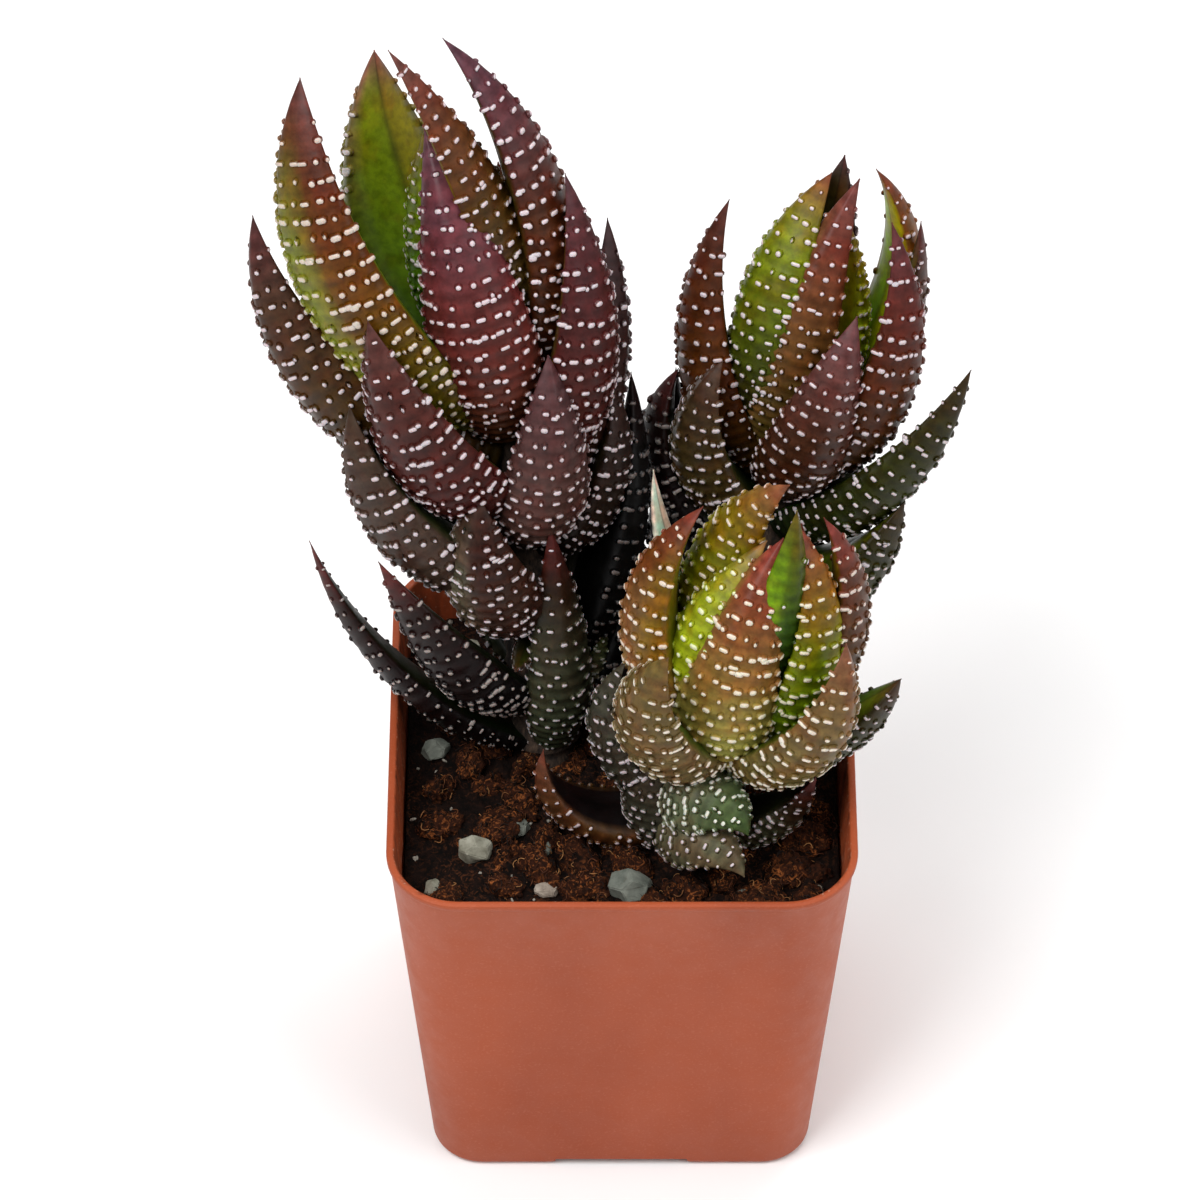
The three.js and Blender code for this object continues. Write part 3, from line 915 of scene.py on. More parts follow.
@dataclass(frozen=True)
class LeafSkin:
    """Living leaf skin: waxy, netted with darker and redder patches, finely pitted.

    In this and the other finishes a span says where a pattern starts and ends, a share how much of
    it shows, and a relief its strength and its depth in millimetres.
    """

    roughness: float = 0.42
    rougher: Span = (-0.08, 0.14)
    clouds: Grain = Grain(420, 4, 0.6)
    cloud_span: Span = (0.3, 0.7)
    cloud_shade: Span = (0.74, 1.2)
    cloud_relief: Span = (0.4, 0.22)
    net: Grain = Grain(900, 3, 0.6)
    net_span: Span = (0.35, 0.6)
    net_shade: Span = (0.8, 1.12)
    patches: Grain = Grain(252, 3, 0.5)
    patch_span: Span = (0.46, 0.62)
    patch_share: Span = (0, 0.8)
    patch_tint: Colour = (1.16, 0.82, 0.8)
    specks: Grain = Grain(2400, 2, 0.5)
    speck_relief: Span = (0.25, 0.05)
    light_depth: float = 1.2

    def colour(self, paint: Paint, clouds: Socket) -> Socket:
        """Clouds the points' own skin colour with darker and redder patches.

        Args:
            paint: the material's nodes.
            clouds: the height of the clouds.

        Returns:
            The clouded colour.
        """
        shade = paint.spread(clouds, self.cloud_span, self.cloud_shade)
        netted = paint.spread(paint.grain(self.net), self.net_span, self.net_shade)
        toned = paint.shaded(paint.shaded(paint.colour_of("skin"), paint.grey(shade)), paint.grey(netted))
        patches = paint.spread(paint.grain(self.patches), self.patch_span, self.patch_share)
        return paint.mix(patches, toned, paint.shaded(toned, self.patch_tint))

    def material(self) -> bpy.types.Material:
        """Builds the skin's material, which reads its colours from the leaf's points."""
        paint = Paint("leaf_skin", Roughness=self.roughness, Specular_IOR_Level=0.2,
                      Subsurface_Weight=0.06, Subsurface_Scale=self.light_depth * MM)
        clouds = paint.grain(self.clouds)
        paint.join(self.colour(paint, clouds), "Base Color")
        low, high = (self.roughness + step for step in self.rougher)
        paint.join(paint.spread(clouds, self.cloud_span, (low, high)), "Roughness")
        coarse = paint.bump(clouds, self.cloud_relief)
        paint.join(paint.bump(paint.grain(self.specks), self.speck_relief, coarse), "Normal")
        return paint.material


@dataclass(frozen=True)
class TubercleWax:
    """The tubercles: bumps of leaf skin that carry a cap of hard, slightly glossy white wax."""

    skin: LeafSkin
    roughness: float = 0.36
    light_depth: float = 0.6
    cap_span: Span = (0.71, 0.95)
    cap_ragged: float = 0.35
    fine: Grain = Grain(2200, 2, 0.5)
    fine_relief: Span = (0.3, 0.05)
    worn: Colour = (150, 136, 134)
    worn_span: Span = (0.4, 0.75)
    worn_share: Span = (0, 0.25)

    def material(self) -> bpy.types.Material:
        """Builds the material, which reads each bump's colours and heights from its points."""
        paint = Paint("tubercle_wax", Roughness=self.roughness, IOR=1.45,
                      Subsurface_Weight=0.15, Subsurface_Scale=self.light_depth * MM)
        foot = self.skin.colour(paint, paint.grain(self.skin.clouds))
        fine = paint.grain(self.fine)
        raised = {0: fine, 1: self.cap_ragged, 2: paint.value_of("cap")}
        ragged = paint.add("ShaderNodeMath", raised, operation="MULTIPLY_ADD").outputs[0]
        wear = paint.spread(fine, self.worn_span, self.worn_share)
        wax = paint.mix(wear, paint.colour_of("tint"), self.worn)
        paint.join(paint.mix(paint.spread(ragged, self.cap_span), foot, wax), "Base Color")
        paint.join(paint.bump(fine, self.fine_relief), "Normal")
        return paint.material


@dataclass(frozen=True)
class DryStem:
    """The stem between the leaves: brown, corky and ringed by old leaf roots."""

    dark: Colour = (34, 24, 20)
    light: Colour = (96, 76, 60)
    shade: Colour = (90, 78, 70)
    fibres: Grain = Grain(900, 4, 0.65)
    fibre_stretch: Span = (1.6, 0.35)
    fibre_span: Span = (0.35, 0.7)
    fibre_relief: Span = (0.8, 0.3)
    flakes: Grain = Grain(420, 3, 0.6)
    flake_span: Span = (0.3, 0.6)

    def material(self) -> bpy.types.Material:
        """Builds the stem's material."""
        paint = Paint("dry_stem", Roughness=0.85)
        fibres = paint.grain(self.fibres, paint.stretched(*self.fibre_stretch))
        corky = paint.mix(paint.spread(fibres, self.fibre_span), self.dark, self.light)
        flakes = paint.spread(paint.grain(self.flakes), self.flake_span)
        paint.join(paint.shaded(corky, paint.mix(flakes, self.shade, WHITE)), "Base Color")
        paint.join(paint.bump(fibres, self.fibre_relief), "Normal")
        return paint.material


@dataclass(frozen=True)
class TerracottaPlastic:
    """Thin moulded plastic the colour of fired clay, matt, with dust and stains inside."""

    body: Colour = (164, 76, 42)
    shade: Colour = (152, 68, 36)
    flow: Grain = Grain(55, 3, 0.5)
    flow_stretch: Span = (1.0, 0.45)
    flow_span: Span = (0.35, 0.65)
    fleck: Colour = (226, 150, 120)
    flecks: Grain = Grain(2600, 2, 0.5)
    fleck_span: Span = (0.55, 0.8)
    fleck_share: Span = (0, 0.12)
    fleck_relief: Span = (0.1, 0.03)
    stain: Colour = (104, 50, 30)
    stains: Grain = Grain(420, 4, 0.6)
    stain_stretch: Span = (1.3, 0.3)
    stain_span: Span = (0.3, 0.62)
    dust: Colour = (206, 168, 144)
    dusting: Grain = Grain(1500, 3, 0.6)
    dust_span: Span = (0.6, 0.7)
    dust_share: Span = (0, 0.55)
    rubbing: Grain = Grain(300, 3, 0.6)
    rubbed_span: Span = (0.3, 0.7)
    rubbed_roughness: Span = (0.44, 0.58)
    peel: Grain = Grain(1100, 2, 0.5)
    peel_relief: Span = (0.12, 0.08)

    def material(self) -> bpy.types.Material:
        """Builds the pot's material, which reads where the wall faces inwards from its points."""
        paint = Paint("terracotta_plastic", Roughness=0.5, Specular_IOR_Level=0.25)
        flow = paint.grain(self.flow, paint.stretched(*self.flow_stretch))
        outside = paint.mix(paint.spread(flow, self.flow_span), self.shade, self.body)
        flecks = paint.grain(self.flecks)
        outside = paint.mix(paint.spread(flecks, self.fleck_span, self.fleck_share), outside, self.fleck)
        stains = paint.grain(self.stains, paint.stretched(*self.stain_stretch))
        within = paint.mix(paint.spread(stains, self.stain_span), self.stain, outside)
        dusty = paint.spread(paint.grain(self.dusting), self.dust_span, self.dust_share)
        within = paint.mix(dusty, within, self.dust)
        paint.join(paint.mix(paint.value_of("inside"), outside, within), "Base Color")
        rubbed = paint.spread(paint.grain(self.rubbing), self.rubbed_span, self.rubbed_roughness)
        paint.join(rubbed, "Roughness")
        orange_peel = paint.bump(paint.grain(self.peel), self.peel_relief)
        paint.join(paint.bump(flecks, self.fleck_relief, orange_peel), "Normal")
        return paint.material


@dataclass(frozen=True)
class PottingMix:
    """Damp coir and peat: dark brown, with painted shade that turns its hollows nearly black, and
    orange-brown where fibres catch the light.
    """

    name: str = "potting_mix"
    # gap: near black, painted shade in the hollows of the crumbs.
    gap: Colour = (5, 3, 2)
    damp: Colour = (24, 12, 8)
    fibre: Colour = (96, 54, 30)
    fibre_most: float = 0.5
    fibres: Grain = Grain(900, 4, 0.6)
    fibre_tangle: float = 2.2
    fibre_span: Span = (0.52, 0.66)
    fibre_relief: Span = (0.6, 0.2)
    crumbs: Grain = Grain(700, 5, 0.7)
    crumb_span: Span = (0.38, 0.62)
    crumb_relief: Span = (0.9, 0.5)
    patches: Grain = Grain(140, 3, 0.6)
    patch_span: Span = (0.36, 0.6)
    patch_share: Span = (0.15, 1)

    def material(self) -> bpy.types.Material:
        """Builds the mix's material."""
        paint = Paint(self.name, Roughness=0.92, Specular_IOR_Level=0.12)
        crumbs = paint.grain(self.crumbs)
        # Painted shade: the low places of the crumbs, which the bump sinks, get the near-black gap colour.
        dark = paint.mix(paint.spread(crumbs, self.crumb_span), self.gap, self.damp)
        fibres = paint.grain(self.fibres)
        fibres.node.inputs["Distortion"].default_value = self.fibre_tangle
        lit = paint.mix(paint.spread(fibres, self.fibre_span, (0, self.fibre_most)), dark, self.fibre)
        patches = paint.spread(paint.grain(self.patches), self.patch_span, self.patch_share)
        paint.join(paint.mix(patches, dark, lit), "Base Color")
        coarse = paint.bump(crumbs, self.crumb_relief)
        paint.join(paint.bump(fibres, self.fibre_relief, coarse), "Normal")
        return paint.material
# The clods' first colour is painted shade in their hollows.


@dataclass(frozen=True)
class CoirFibre:
    """Single coir threads, from straw to dark rust."""

    dark: Colour = (16, 8, 5)
    middle: Colour = (92, 48, 24)
    middle_span: Span = (0.3, 0.75)
    light: Colour = (196, 140, 86)
    light_span: Span = (0.8, 1.0)
    grain: Grain = Grain(1600, 3, 0.6)
    grain_span: Span = (0.4, 0.7)
    grain_share: Span = (0, 0.5)
    grain_relief: Span = (0.4, 0.05)

    def material(self) -> bpy.types.Material:
        """Builds the threads' material, which reads a shade for each thread."""
        paint = Paint("coir_fibre", Roughness=0.7, Specular_IOR_Level=0.25)
        shade = paint.value_of("shade")
        tone = paint.mix(paint.spread(shade, self.middle_span), self.dark, self.middle)
        tone = paint.mix(paint.spread(shade, self.light_span), tone, self.light)
        grain = paint.grain(self.grain)
        grained = paint.mix(paint.spread(grain, self.grain_span, self.grain_share), tone, self.dark)
        paint.join(grained, "Base Color")
        paint.join(paint.bump(grain, self.grain_relief), "Normal")
        return paint.material


@dataclass(frozen=True)
class GritStone:
    """Broken grit: dull mineral with soft veins and pits, a little soil in its hollows."""

    name: str
    light: Colour
    dark: Colour
    soil: Colour = (70, 60, 50)
    veins: Grain = Grain(330, 5, 0.65)
    vein_span: Span = (0.34, 0.66)
    vein_relief: Span = (0.5, 0.3)
    pits: Grain = Grain(1400, 3, 0.6)
    pit_span: Span = (0.6, 0.75)
    pit_share: Span = (0, 0.5)
    pit_relief: Span = (0.5, 0.08)

    def material(self) -> bpy.types.Material:
        """Builds the stone's material."""
        paint = Paint(self.name, Roughness=0.82)
        veins, pits = paint.grain(self.veins), paint.grain(self.pits)
        mineral = paint.mix(paint.spread(veins, self.vein_span), self.dark, self.light)
        pitted = paint.mix(paint.spread(pits, self.pit_span, self.pit_share), mineral, self.soil)
        paint.join(pitted, "Base Color")
        coarse = paint.bump(veins, self.vein_relief)
        paint.join(paint.bump(pits, self.pit_relief, coarse), "Normal")
        return paint.material


@dataclass
class Rosette:
    """A stem with its leaves and the tubercles on them."""

    name: str
    stem: Stem
    leaves: list[Leaf]
    seed: int
    rule: TubercleRule = field(default_factory=TubercleRule)
    rings_per_row: int = 4
    outer_points: int = 15
    inner_points: int = 7
    plumpness: float = 1.04
    foot_radius: float = 3.6
    foot_depth: float = 9.0
    foot_top: float = 3
    stem_taper: float = 0.6
    stem_sides: int = 28
    stem_steps: int = 90
    scar_depth: float = 0.16
    scar_rate: float = 2.4
    scar_waver: float = 0.8
    flake_depth: float = 0.35

    FIRST_RING = 0.004
    TAIL = (0.985, 0.995, 1.0)
    TOWARDS_MARGINS = 1.4
    RIDGE_FADE = 0.3
    # Painted shade in the valleys between the rows of tubercles and painted light on their ridges.
    VALLEY_PAINTED_SHADE = 0.72
    RIDGE_PAINTED_LIGHT = 0.38
    ALONG_ROW = 0.05
    FLAKE_ROUND = 2
    FLAKE_RISE = 0.6

    def section(self) -> tuple[np.ndarray, np.ndarray]:
        """Where the leaf's section has points.

        Returns:
            Angles round its back from margin to margin, and places across its inner face.
        """
        inner = np.linspace(-1, 1, self.inner_points + 2)[1:-1]
        spaced = np.sign(inner) * np.abs(inner) ** self.TOWARDS_MARGINS
        return np.linspace(0, math.pi, self.outer_points), spaced

    def ring_shares(self, leaf: Leaf) -> tuple[np.ndarray, np.ndarray]:
        """Where the leaf has rings of points, with several to each row of tubercles.

        Args:
            leaf: the leaf.

        Returns:
            Shares of its length, and how far each ring lies up the ridge of its row, from 0 to 1.
        """
        rows = self.rule.rows(leaf.length)
        before, after = 2 * rows[0] - rows[1], 2 * rows[-1] - rows[-2]
        marks = np.array([before, *rows, after])
        count = (len(marks) - 1) * self.rings_per_row
        phase = np.arange(count + 1) / self.rings_per_row
        shares = np.interp(phase, np.arange(len(marks)), marks)
        inside = (shares > self.FIRST_RING) & (shares < self.TAIL[0])
        ridge = (0.5 - 0.5 * np.cos(2 * math.pi * (phase - 0.5)))[inside]
        flat = np.zeros(len(self.TAIL))
        return np.concatenate([[0.0], shares[inside], self.TAIL]), np.concatenate([[0.0], ridge, flat])

    def on_back(self, leaf: Leaf, share: np.ndarray, turns: np.ndarray, lift: np.ndarray) -> np.ndarray:
        """Points on a leaf's back.

        Args:
            leaf: the leaf.
            share: shares of its length.
            turns: angles round its back.
            lift: how far each point is raised.

        Returns:
            The points.
        """
        _, normal, side = leaf.directions(self.stem, share)
        half = leaf.breadth(share) * self.plumpness + lift * np.abs(np.sin(turns)) ** self.RIDGE_FADE
        level = side * (np.cos(turns) * half)[:, None]
        return leaf.spine(self.stem, share) + level + normal * (leaf.back(turns, share) * half)[:, None]

    def add_leaf(self, draft: MeshDraft, leaf: Leaf) -> None:
        """Adds one leaf's closed blade.

        Args:
            draft: the mesh that it goes into.
            leaf: the leaf.
        """
        turns, inner = self.section()
        shares, ridge = self.ring_shares(leaf)
        rings, outer = len(shares), len(turns)
        each_share, each_turn = np.repeat(shares, outer), np.tile(turns, rings)
        lift = np.repeat(ridge * self.rule.ridge(shares), outer)
        back = self.on_back(leaf, each_share, each_turn, lift).reshape(rings, outer, 3)
        _, normal, side = leaf.directions(self.stem, shares)
        half = (leaf.breadth(shares) * self.plumpness)[:, None]
        level = leaf.MARGIN_LEVEL - (leaf.MARGIN_LEVEL + leaf.INNER_BULGE) * (1 - inner**2)
        centres = leaf.spine(self.stem, shares)
        across, up = side[:, None] * (inner * half)[..., None], normal[:, None] * (level * half)[..., None]
        points = np.concatenate([back, centres[:, None] + across + up], axis=1)
        # The skin colour gets painted shade in the valleys between rows and painted light on the ridges.
        light = self.VALLEY_PAINTED_SHADE + self.RIDGE_PAINTED_LIGHT * ridge
        skin = leaf.tone.value.on_back(each_share, each_turn).reshape(rings, outer, 3) * light[:, None, None]
        skin = np.concatenate([skin, leaf.tone.value.on_face(shares, inner)], axis=1)
        skin = np.concatenate([skin, np.ones((*skin.shape[:2], 1))], axis=2)
        ends = np.vstack([centres[:1], points.reshape(-1, 3), centres[-1:] + normal[-1:] * half[-1]])
        colours = np.vstack([skin[0, :1], skin.reshape(-1, 4), skin[-1, :1]])
        draft.add(ends, loft_faces(rings, outer + len(inner)), skin=colours)

    def row_places(self, leaf: Leaf, row: int, share: float, draw: np.random.Generator) -> np.ndarray:
        """Where the tubercles of one row lie: dots, and bars of dots that have run together.

        Args:
            leaf: the leaf.
            row: the row's number.
            share: where it crosses the leaf.
            draw: the leaf's random draws.

        Returns:
            Places from 0 at one margin to 1 at the other.
        """
        rule, tone = self.rule, leaf.tone.value
        half = float(leaf.breadth(np.array([share]))[0]) * self.plumpness
        count = max(2, round(rule.round_the_back * half / rule.pitch))
        banding, cover = rule.banding(tone, share), rule.cover(tone, share)
        places = []
        for step in np.arange(-0.5 * (row % 2), count + 0.01):
            if draw.random() > cover:
                continue
            places.append(step + draw.normal(0, rule.sideways))
            if draw.random() < banding and half > rule.least_barred_half:
                places.extend(places[-1] + rule.bar_step * np.arange(1, draw.integers(*rule.bar_dots)))
        return np.clip(np.array(places) / count, rule.from_margin, 1 - rule.from_margin)

    def add_tubercles(self, seeds: dict[str, list[np.ndarray]], leaf: Leaf, number: int) -> None:
        """Adds the places of one leaf's tubercles.

        Args:
            seeds: lists of points and of the fields that shape and colour each tubercle.
            leaf: the leaf.
            number: its number in the rosette, for its seed.
        """
        rule, tone = self.rule, leaf.tone.value
        draw = np.random.default_rng(self.seed * 1000 + number)
        for row, base in enumerate(rule.rows(leaf.length)):
            places = self.row_places(leaf, row, float(base), draw)
            if not len(places):
                continue
            turns, count = places * math.pi, len(places)
            share = np.clip(base + draw.normal(0, rule.wander, count) / leaf.length, 0, rule.farthest)
            lift = rule.ridge(share) * rule.sunk
            anchor = self.on_back(leaf, share, turns, lift)
            way = unit(self.on_back(leaf, share, turns + self.ALONG_ROW, lift) - anchor)
            facing = unit(np.cross(way, leaf.directions(self.stem, share)[0]))
            build = rule.build(leaf, base)
            length = rule.half_length * build * draw.uniform(*rule.length_span, count) * rule.foot_spread
            width = rule.half_width * build * draw.uniform(*rule.width_span, count) * rule.foot_spread
            height = rule.height * build * draw.uniform(*rule.height_span, count)
            half = leaf.breadth(share) * self.plumpness
            skin = tone.on_back(share, turns)
            dull = rule.dullness(base, draw, count)[:, None]
            tint = np.array(linear(*tone.wax)) * (1 - dull) + skin * rule.dull_light * dull
            alpha = np.ones((count, 1))
            # The skin at the feet carries painted light, scaled by foot_light.
            found = {
                "points": anchor, "outward": facing, "row": way, "bend": 1 / (half * MM),
                "size": np.stack([length, width, height], axis=1) * MM,
                "tint": np.concatenate([tint, alpha], axis=1),
                "skin": np.concatenate([skin * rule.foot_light, alpha], axis=1),
            }
            for key, values in found.items():
                seeds.setdefault(key, []).append(values)

    def build_leaves(self, finish: bpy.types.Material) -> None:
        """Builds the blades as one piece that stands for the rosette's solid."""
        draft = MeshDraft()
        for leaf in self.leaves:
            self.add_leaf(draft, leaf)
        piece = new_object(f"leaves_{self.name}", draft.mesh(f"leaves_{self.name}"))
        place(piece, finish, SLOTS[self.name], f"rosette_{self.name}")

    def build_tubercles(self, finish: bpy.types.Material) -> None:
        """Grows the white tubercles on the blades' backs."""
        seeds: dict[str, list[np.ndarray]] = {}
        for number, leaf in enumerate(self.leaves):
            self.add_tubercles(seeds, leaf, number)
        points = np.vstack(seeds.pop("points"))
        draft = MeshDraft()
        draft.add(points, [], **{key: np.concatenate(values) for key, values in seeds.items()})
        grower = Grower("tubercle_rows")
        places = grower.keep(grower.ground, "anchor", grower.here())
        domes = grower.real(grower.strew(places, self.unit_dome(grower)))
        shaped = grower.add("GeometryNodeSetPosition", {
            "Geometry": domes, "Position": self.bent_over_leaf(grower),
        })
        piece = grower.grow(f"tubercles_{self.name}", shaped.outputs[0], finish, draft.mesh("seeds"))
        place(piece, finish, SLOTS[self.name])

    def unit_dome(self, grower: Grower) -> Socket:
        """A low closed dome of unit size, with its own coordinates and height as named values.

        Args:
            grower: the tree it is built in.

        Returns:
            The dome's geometry.
        """
        sides = 8
        cone = grower.add("GeometryNodeMeshCone", {
            "Vertices": grower.size("Sides", sides, "Int"), "Side Segments": grower.size("Steps", 2, "Int"),
            "Radius Top": 0.0, "Radius Bottom": 1.0, "Depth": 1.0,
        })
        turn = (0, 0, math.pi / sides)
        turned = grower.add("GeometryNodeTransform", {"Geometry": cone.outputs["Mesh"], "Rotation": turn})
        smooth = grower.add("GeometryNodeSetShadeSmooth", {"Geometry": turned.outputs[0]}).outputs[0]
        x, y, _ = grower.parts(grower.here())
        level = {0: grower.put_together(x, y)}
        reach = grower.add("ShaderNodeVectorMath", level, operation="LENGTH").outputs["Value"]
        fall = grower.sum("POWER", reach, grower.size("Roundness", 2.6))
        height = grower.sum("MULTIPLY_ADD", fall, grower.size("Fall", -1.2), 1.0)
        kept = grower.keep(smooth, "own", grower.put_together(x, y, height))
        return grower.keep(kept, "cap", height, "FLOAT")

    def bent_over_leaf(self, grower: Grower) -> Socket:
        """Where a dome's points go: stretched to its size and bent over the round of the leaf.

        Args:
            grower: the tree it is worked out in.

        Returns:
            The position.
        """
        x, y, height = grower.parts(grower.named("own"))
        long, wide, high = grower.parts(grower.named("size"))
        far = grower.sum("MULTIPLY", x, grower.size("End Stretch", 9.0))
        end = grower.add("ShaderNodeClamp", {"Value": far, "Min": -1.0, "Max": 1.0}).outputs[0]
        along_row = grower.sum(
            "MULTIPLY_ADD", end, grower.sum("SUBTRACT", long, wide), grower.sum("MULTIPLY", x, wide)
        )
        across_row = grower.sum("MULTIPLY", y, wide)
        square = grower.sum("MULTIPLY", along_row, along_row)
        drop = grower.sum("MULTIPLY", square, grower.sum("MULTIPLY", grower.named("bend", "FLOAT"), -0.5))
        rise = grower.sum("MULTIPLY_ADD", height, high, drop)
        outwards, row = grower.named("outward"), grower.named("row")
        up_leaf = grower.vector("CROSS_PRODUCT", outwards, row)
        spot = grower.named("anchor")
        for way, length in ((row, along_row), (up_leaf, across_row), (outwards, rise)):
            spot = grower.vector("ADD", spot, grower.vector("SCALE", way, length))
        wobble = {"Vector": spot, "Scale": grower.size("Wobble Scale", 1100.0), "Detail": 1.0}
        cloud = grower.add("ShaderNodeTexNoise", wobble).outputs["Color"]
        shift = grower.vector("SUBTRACT", cloud, (0.5, 0.5, 0.5))
        return grower.vector("ADD", spot, grower.vector("SCALE", shift, grower.size("Wobble", 0.1 * MM)))

    def build_stem(self, finish: bpy.types.Material) -> None:
        """Builds the ringed stem with its plain foot in the soil."""
        out, along, side = self.stem.axes(0)
        places = np.linspace(-self.foot_depth, self.stem.length, self.stem_steps)
        angles = np.linspace(0, 2 * math.pi, self.stem_sides, endpoint=False)
        spokes = out[None] * np.cos(angles)[:, None] + side[None] * np.sin(angles)[:, None]
        centres = np.array(self.stem.foot) + along * places[:, None]
        rings = [centre + spokes * np.array([self.stem_reach(up, a) for a in angles])[:, None]
                 for centre, up in zip(centres, places)]
        draft = MeshDraft()
        draft.add(np.vstack([centres[:1], *rings, centres[-1:]]), loft_faces(len(rings), len(angles)))
        piece = new_object(f"stem_{self.name}", draft.mesh(f"stem_{self.name}"))
        place(piece, finish, SLOTS[self.name])

    def stem_reach(self, up: float, angle: float) -> float:
        """Radius of the stem at a place.

        Args:
            up: millimetres up the stem from its foot.
            angle: angle round it.

        Returns:
            The radius with its rings and flakes, plain at the foot.
        """
        if up < self.foot_top:
            return self.foot_radius
        thick = self.stem.radius * (1 - (1 - self.stem_taper) * (up / self.stem.length))
        scars = self.scar_depth * math.sin(up * self.scar_rate + self.scar_waver * math.sin(2 * angle))
        east, north = math.cos(angle) * self.FLAKE_ROUND, math.sin(angle) * self.FLAKE_ROUND
        spot = Vector((east, north, up * self.FLAKE_RISE))
        return thick + scars + self.flake_depth * noise.noise(spot + Vector((self.seed, 0, 0)))

    def build(self, skin: bpy.types.Material, wax: bpy.types.Material, bark: bpy.types.Material) -> None:
        """Builds the blades, the tubercles and the stem."""
        self.build_leaves(skin)
        self.build_tubercles(wax)
        self.build_stem(bark)


SLOTS = {"tall": "leaf_purple", "back": "leaf_brown_green", "front": "leaf_yellow_green"}

T = LeafTone
TALL_LEAVES = [
    Leaf(57, -75, 56, 69, 47, 18.5, -6, T.SUNNED, 2.8, -15),
    Leaf(63, -138, 45.5, 66, 55, 18.5, -2, T.FRESH, 2.2),
    Leaf(62, 118, 52.5, 104, 17, 13.5, -6, T.RUSSET, 1.8, 25),
    Leaf(60, 107, 52, 94, 45, 15, 0, T.MULBERRY, 2.0, 10),
    Leaf(54, -5, 45.5, 89, 40, 14, -14, T.WINE),
    Leaf(49, -89, 51.5, 54, 68, 15, 3, T.UMBER, 2.0, -42),
    Leaf(47, 78, 45, 76, 28, 15.6, 0, T.MAROON),
    Leaf(43, 110, 40, 66, 31, 13.5, 1, T.COCOA, 1.8, 44),
    Leaf(45, -41, 38, 59, 40, 16.5, -6, T.GARNET),
    Leaf(38, 29, 32, 70, 40, 12.6, 6, T.ROAN),
    Leaf(33, -62, 37.5, 55, 52, 15, 0, T.SMOKE, 2.2),
    Leaf(35, 92, 27, 60, 50, 12, 0, T.CHARCOAL),
    Leaf(26, -24, 27, 62, 45, 13.5, 10, T.SHALE),
    Leaf(12, -52, 36, 53, 14, 13.5, 0, T.INK, 1.5),
    Leaf(4, -76, 46.5, 53, 42, 8, -4, T.INK),
    Leaf(4, 26, 39, 76, 20, 9, 0, T.BOTTLE),
    Leaf(10, 80, 15, 54, 30, 6, 0, T.GRASS),
    Leaf(47, -105, 37, 50, 35, 9, 0, T.FOREST),
    Leaf(8, 150, 31, 58, 30, 11, 0, T.INK),
    Leaf(15, -160, 33, 58, 35, 12, 0, T.BOTTLE),
    Leaf(21, 165, 34, 60, 35, 12, 0, T.CHARCOAL),
    Leaf(27, -130, 33, 58, 40, 12, 0, T.SMOKE),
    Leaf(33, 145, 35, 62, 40, 13, 0, T.COCOA),
    Leaf(39, -165, 36, 62, 40, 13, 0, T.ROAN),
    Leaf(45, 150, 37, 66, 40, 13, 0, T.MAROON),
    Leaf(52, -160, 39, 68, 35, 13, 0, T.WINE),
    Leaf(58, 165, 31, 76, 30, 12, 0, T.RUSSET),
    Leaf(66, -104, 31, 81, 14, 12.5, 0, T.SPRING),
    Leaf(21, -7, 13.5, 6, 13, 3, 2, T.LODEN),
]
BACK_LEAVES = [
    Leaf(46, 165, 38.5, 88, 30, 10.5, -2, T.COCOA),
    Leaf(44, -69, 38, 94, 40, 12, -8, T.KIWI, 3.0),
    Leaf(41, -27, 42, 94, 28, 11.2, 9, T.ROSEWOOD),
    Leaf(46, 125, 29, 85, 30, 11, 0, T.GORSE),
    Leaf(43, 115, 43, 81, 88, 10.5, 5, T.CITRUS, 2.3),
    Leaf(38, 68, 43, 79, 58, 14, -2, T.CURRANT),
    Leaf(37, 100, 41.5, 73, 42, 11, 0, T.UMBER),
    Leaf(37, -104, 41, 73, 46, 13, 2, T.CHESTNUT, 1.8, -28),
    Leaf(35.5, 12, 33.5, 73, 40, 12, 10, T.HEATHER),
    Leaf(32.3, -66, 28, 64, 72, 13, 10, T.LODEN),
    Leaf(27, -98, 28, 56, 85, 14, 0, T.INK),
    Leaf(29, 68, 39, 54, 39, 12, 1, T.FOREST, 1.8, 24),
    Leaf(20, 68, 20, 40, 30, 12, 0, T.FOREST),
    Leaf(15, 62, 23, 48, 40, 10, 0, T.INK),
    Leaf(9, 140, 22, 70, 30, 10, 0, T.INK),
    Leaf(15, -150, 25, 68, 35, 10, 0, T.BOTTLE),
    Leaf(21, 175, 28, 68, 40, 11, 0, T.CHARCOAL),
    Leaf(26, 135, 30, 62, 40, 12, 0, T.BOTTLE),
    Leaf(32, -150, 26, 62, 40, 12, 0, T.SMOKE),
    Leaf(38, 160, 34, 70, 40, 12, 0, T.COCOA),
    Leaf(10, -60, 21, 50, 40, 11, 0, T.INK),
    Leaf(12, -25, 18, 55, 40, 10, 0, T.CHARCOAL),
]
# Leaves low between the stems, coloured near black as painted deep shade.
TALL_SHADED = [
    Leaf(16, 105, 44, 68, 25, 13, 0, T.PAINTED_DEEP_SHADE),
    Leaf(8, 118, 33, 62, 25, 12, 0, T.PAINTED_DEEP_SHADE),
]
